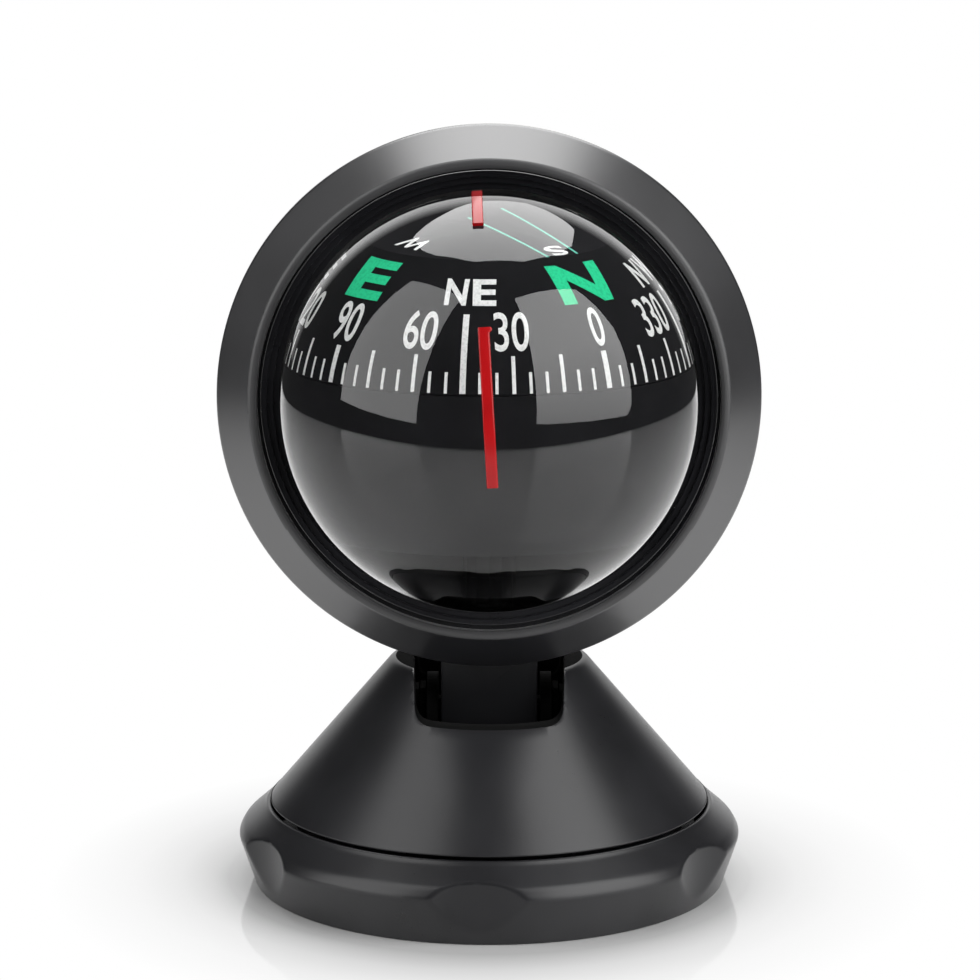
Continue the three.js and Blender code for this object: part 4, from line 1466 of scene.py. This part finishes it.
# %% Floor
FLOOR_HALF = 4000
TABLE_MIDDLE = 100
TABLE_HALF_WIDTH = 338
TABLE_HALF_DEPTH = 290
TABLE_FADE = 0.04
WHITE_FAR = 50
ROOM_FLOOR = 0.03
SHADE_HALF = 12
SHADE_EDGE = 18
SHADE_START = 8
WHITE_STOPS = ((0.50, 0), (0.59, 0.42), (0.68, 0.70), (0.84, 1))
TABLE_ROUGHNESS = 0.06
TABLE_WHITE = (0.8, 0.8, 0.8, 1)
MIRRORED_WHITE = (0.68, 0.68, 0.68, 1)
NEAR_FOOT_SHADE_GREY = (0.45, 0.45, 0.45, 1)
FULL_WHITE = (1, 1, 1, 1)

maker = bmesh.new()
corners = []
for x, y in ((-1, -1), (1, -1), (1, 1), (-1, 1)):
    corners.append(maker.verts.new((x * FLOOR_HALF * MM, y * FLOOR_HALF * MM, 0)))
maker.faces.new(corners)
floor_material, tree, output = finish("white_table")
floor = piece("floor", maker, floor_material)
spot = tree.node("ShaderNodeTexCoord")["Object"]
parts = tree.node("ShaderNodeSeparateXYZ", {}, {0: spot})
sideways = parts["X"] / (TABLE_HALF_WIDTH * MM)
onwards = (parts["Y"] - TABLE_MIDDLE * MM) / (TABLE_HALF_DEPTH * MM)
out = (sideways * sideways + onwards * onwards) ** 0.5
off_table = tree.map(out, 1 - TABLE_FADE, 1 + TABLE_FADE, 0, 1)
# Behind the foot a narrow strip shows mirror rays the dim room: painted shade of the compass on
# the table.
beside = tree.map(tree.sum("ABSOLUTE", parts["X"]), SHADE_HALF * MM, SHADE_EDGE * MM, 1, 0)
painted_shade_strip = beside * tree.map(parts["Y"], 0, SHADE_START * MM, 0, 1)
unlit = tree.sum("MAXIMUM", off_table, painted_shade_strip)
path = tree.node("ShaderNodeLightPath")
colour = tree.mix(path["Is Glossy Ray"], TABLE_WHITE, MIRRORED_WHITE)
# The camera sees the table grey, and near the foot this paints shade round it; further out the
# white glow takes over.
colour = tree.mix(path["Is Camera Ray"], colour, NEAR_FOOT_SHADE_GREY)
shader = tree.node(
    "ShaderNodeBsdfPrincipled", {}, {"Base Color": colour, "Roughness": TABLE_ROUGHNESS}
)
distance = (parts["X"] * parts["X"] + parts["Y"] * parts["Y"]) ** 0.5
white = tree.node(
    "ShaderNodeValToRGB", {"stops": WHITE_STOPS}, {"Fac": distance / (WHITE_FAR * MM)}
)["Color"]
glow = tree.node("ShaderNodeEmission", {}, {"Color": FULL_WHITE, "Strength": 1.0})
dim = tree.node("ShaderNodeEmission", {}, {"Color": FULL_WHITE, "Strength": ROOM_FLOOR})
table = tree.node("ShaderNodeMixShader", {}, {
    0: path["Is Glossy Ray"] * unlit, 1: shader["BSDF"], 2: dim["Emission"],
})
mixed = tree.node("ShaderNodeMixShader", {}, {
    0: path["Is Camera Ray"] * white, 1: table["Shader"], 2: glow["Emission"],
})
tree.link(mixed["Shader"], output, "Surface")
print("floor half width", FLOOR_HALF)

# %% [markdown]
# ## The lights
# The dome shows the lights as a mirror does: two tall softboxes at the front, the right one
# brighter, and a large one overhead that reaches to the back. Their corners are given as
# directions from the dome, in degrees to the right of the front and above the horizon. A
# softbox has two strengths, for dull surfaces and for mirrors, and it may fade towards its
# bottom, as a real one does whose lamp hangs high.

# %% Softboxes
LIGHT_DISTANCE = 700
LEFT_BOX = [(-93, 58), (-31, 65), (-39, -3), (-87, 2)]
RIGHT_BOX = [(29, 65), (90, 53), (89, 32), (82, 0), (79, -3), (25, -2.5)]
TOP_BOX = [(-147, 47), (-131, 58.5), (-121, 66.5), (-109, 79.5), (-98, 84.5), (110, 84.5),
           (104.5, 75.5), (119, 66), (125, 59.5), (139, 49), (156, 35), (174, 23), (-179, 26),
           (-166, 39)]
LEFT_STRENGTHS = (2.7, 3.0)
RIGHT_STRENGTHS = (4.8, 4.7)
TOP_STRENGTHS = (4.4, 4.9)
NO_FADE = (0, 1, 1)
RIGHT_FADE = (0, 350, 0.6)
TOP_FADE = (320, 600, 0.42)


def direction(azimuth, elevation):
    """A direction from the dome, in degrees to the right of the front and above the horizon."""
    turn, rise = math.radians(azimuth), math.radians(elevation)
    return Vector((math.cos(rise) * math.sin(turn), -math.cos(rise) * math.cos(turn),
                   math.sin(rise)))


def softbox(name, corners, strengths, fade):
    """A glowing panel through these directions, which the camera doesn't see."""
    maker = bmesh.new()
    spots = [dome_centre + direction(*corner) * LIGHT_DISTANCE for corner in corners]
    middle = sum(spots, Vector()) / len(spots)
    hub = maker.verts.new(middle * MM)
    rim = [maker.verts.new(spot * MM) for spot in spots]
    for i in range(len(rim)):
        maker.faces.new((hub, rim[i], rim[(i + 1) % len(rim)]))
    material, tree, output = finish(name)
    glossy = tree.node("ShaderNodeLightPath")["Is Glossy Ray"]
    place = tree.node("ShaderNodeTexCoord")["Object"]
    height = tree.node("ShaderNodeSeparateXYZ", {}, {0: place})["Z"]
    dull_strength, mirror_strength = strengths
    power = dull_strength + (mirror_strength - dull_strength) * glossy
    low, high, low_share = fade
    power = power * tree.map(height, low * MM, high * MM, low_share, 1)
    glow = tree.node("ShaderNodeEmission", {}, {"Color": FULL_WHITE, "Strength": power})
    tree.link(glow["Emission"], output, "Surface")
    box = piece(name, maker, material)
    box.visible_camera = False
    box.visible_transmission = False
    box.visible_shadow = False
    print(name, "has", len(corners), "corners")


softbox("softbox_left", LEFT_BOX, LEFT_STRENGTHS, NO_FADE)
softbox("softbox_right", RIGHT_BOX, RIGHT_STRENGTHS, RIGHT_FADE)
softbox("softbox_top", TOP_BOX, TOP_STRENGTHS, TOP_FADE)

# %% [markdown]
# The world is white where the camera looks. For reflections it is dark towards the front, as a
# room behind the camera is, and white behind the compass, so that the edges of glass and
# plastic pick up the pale background.

# %% World
ROOM = 0.035
FILL = 0.45
BACK_LOW = 0.81
BACK_HIGH = 0.92

world = bpy.data.worlds.new("studio")
world.use_nodes = True
world.node_tree.nodes.clear()
tree = Tree(world.node_tree)
output = tree.node("ShaderNodeOutputWorld")
towards = tree.node("ShaderNodeTexCoord")["Generated"]
behind = tree.node("ShaderNodeSeparateXYZ", {}, {0: towards})["Y"]
white_back = tree.map(behind, BACK_LOW, BACK_HIGH, ROOM, 1.0)
path = tree.node("ShaderNodeLightPath")
seen = path["Is Camera Ray"]
mirrored = path["Is Glossy Ray"]
strength = seen + (1 - seen) * (mirrored * white_back + (1 - mirrored) * FILL)
sky = tree.node("ShaderNodeBackground", {}, {"Color": FULL_WHITE, "Strength": strength})
tree.link(sky["Background"], output, "Surface")
bpy.context.scene.world = world
print("world ready")
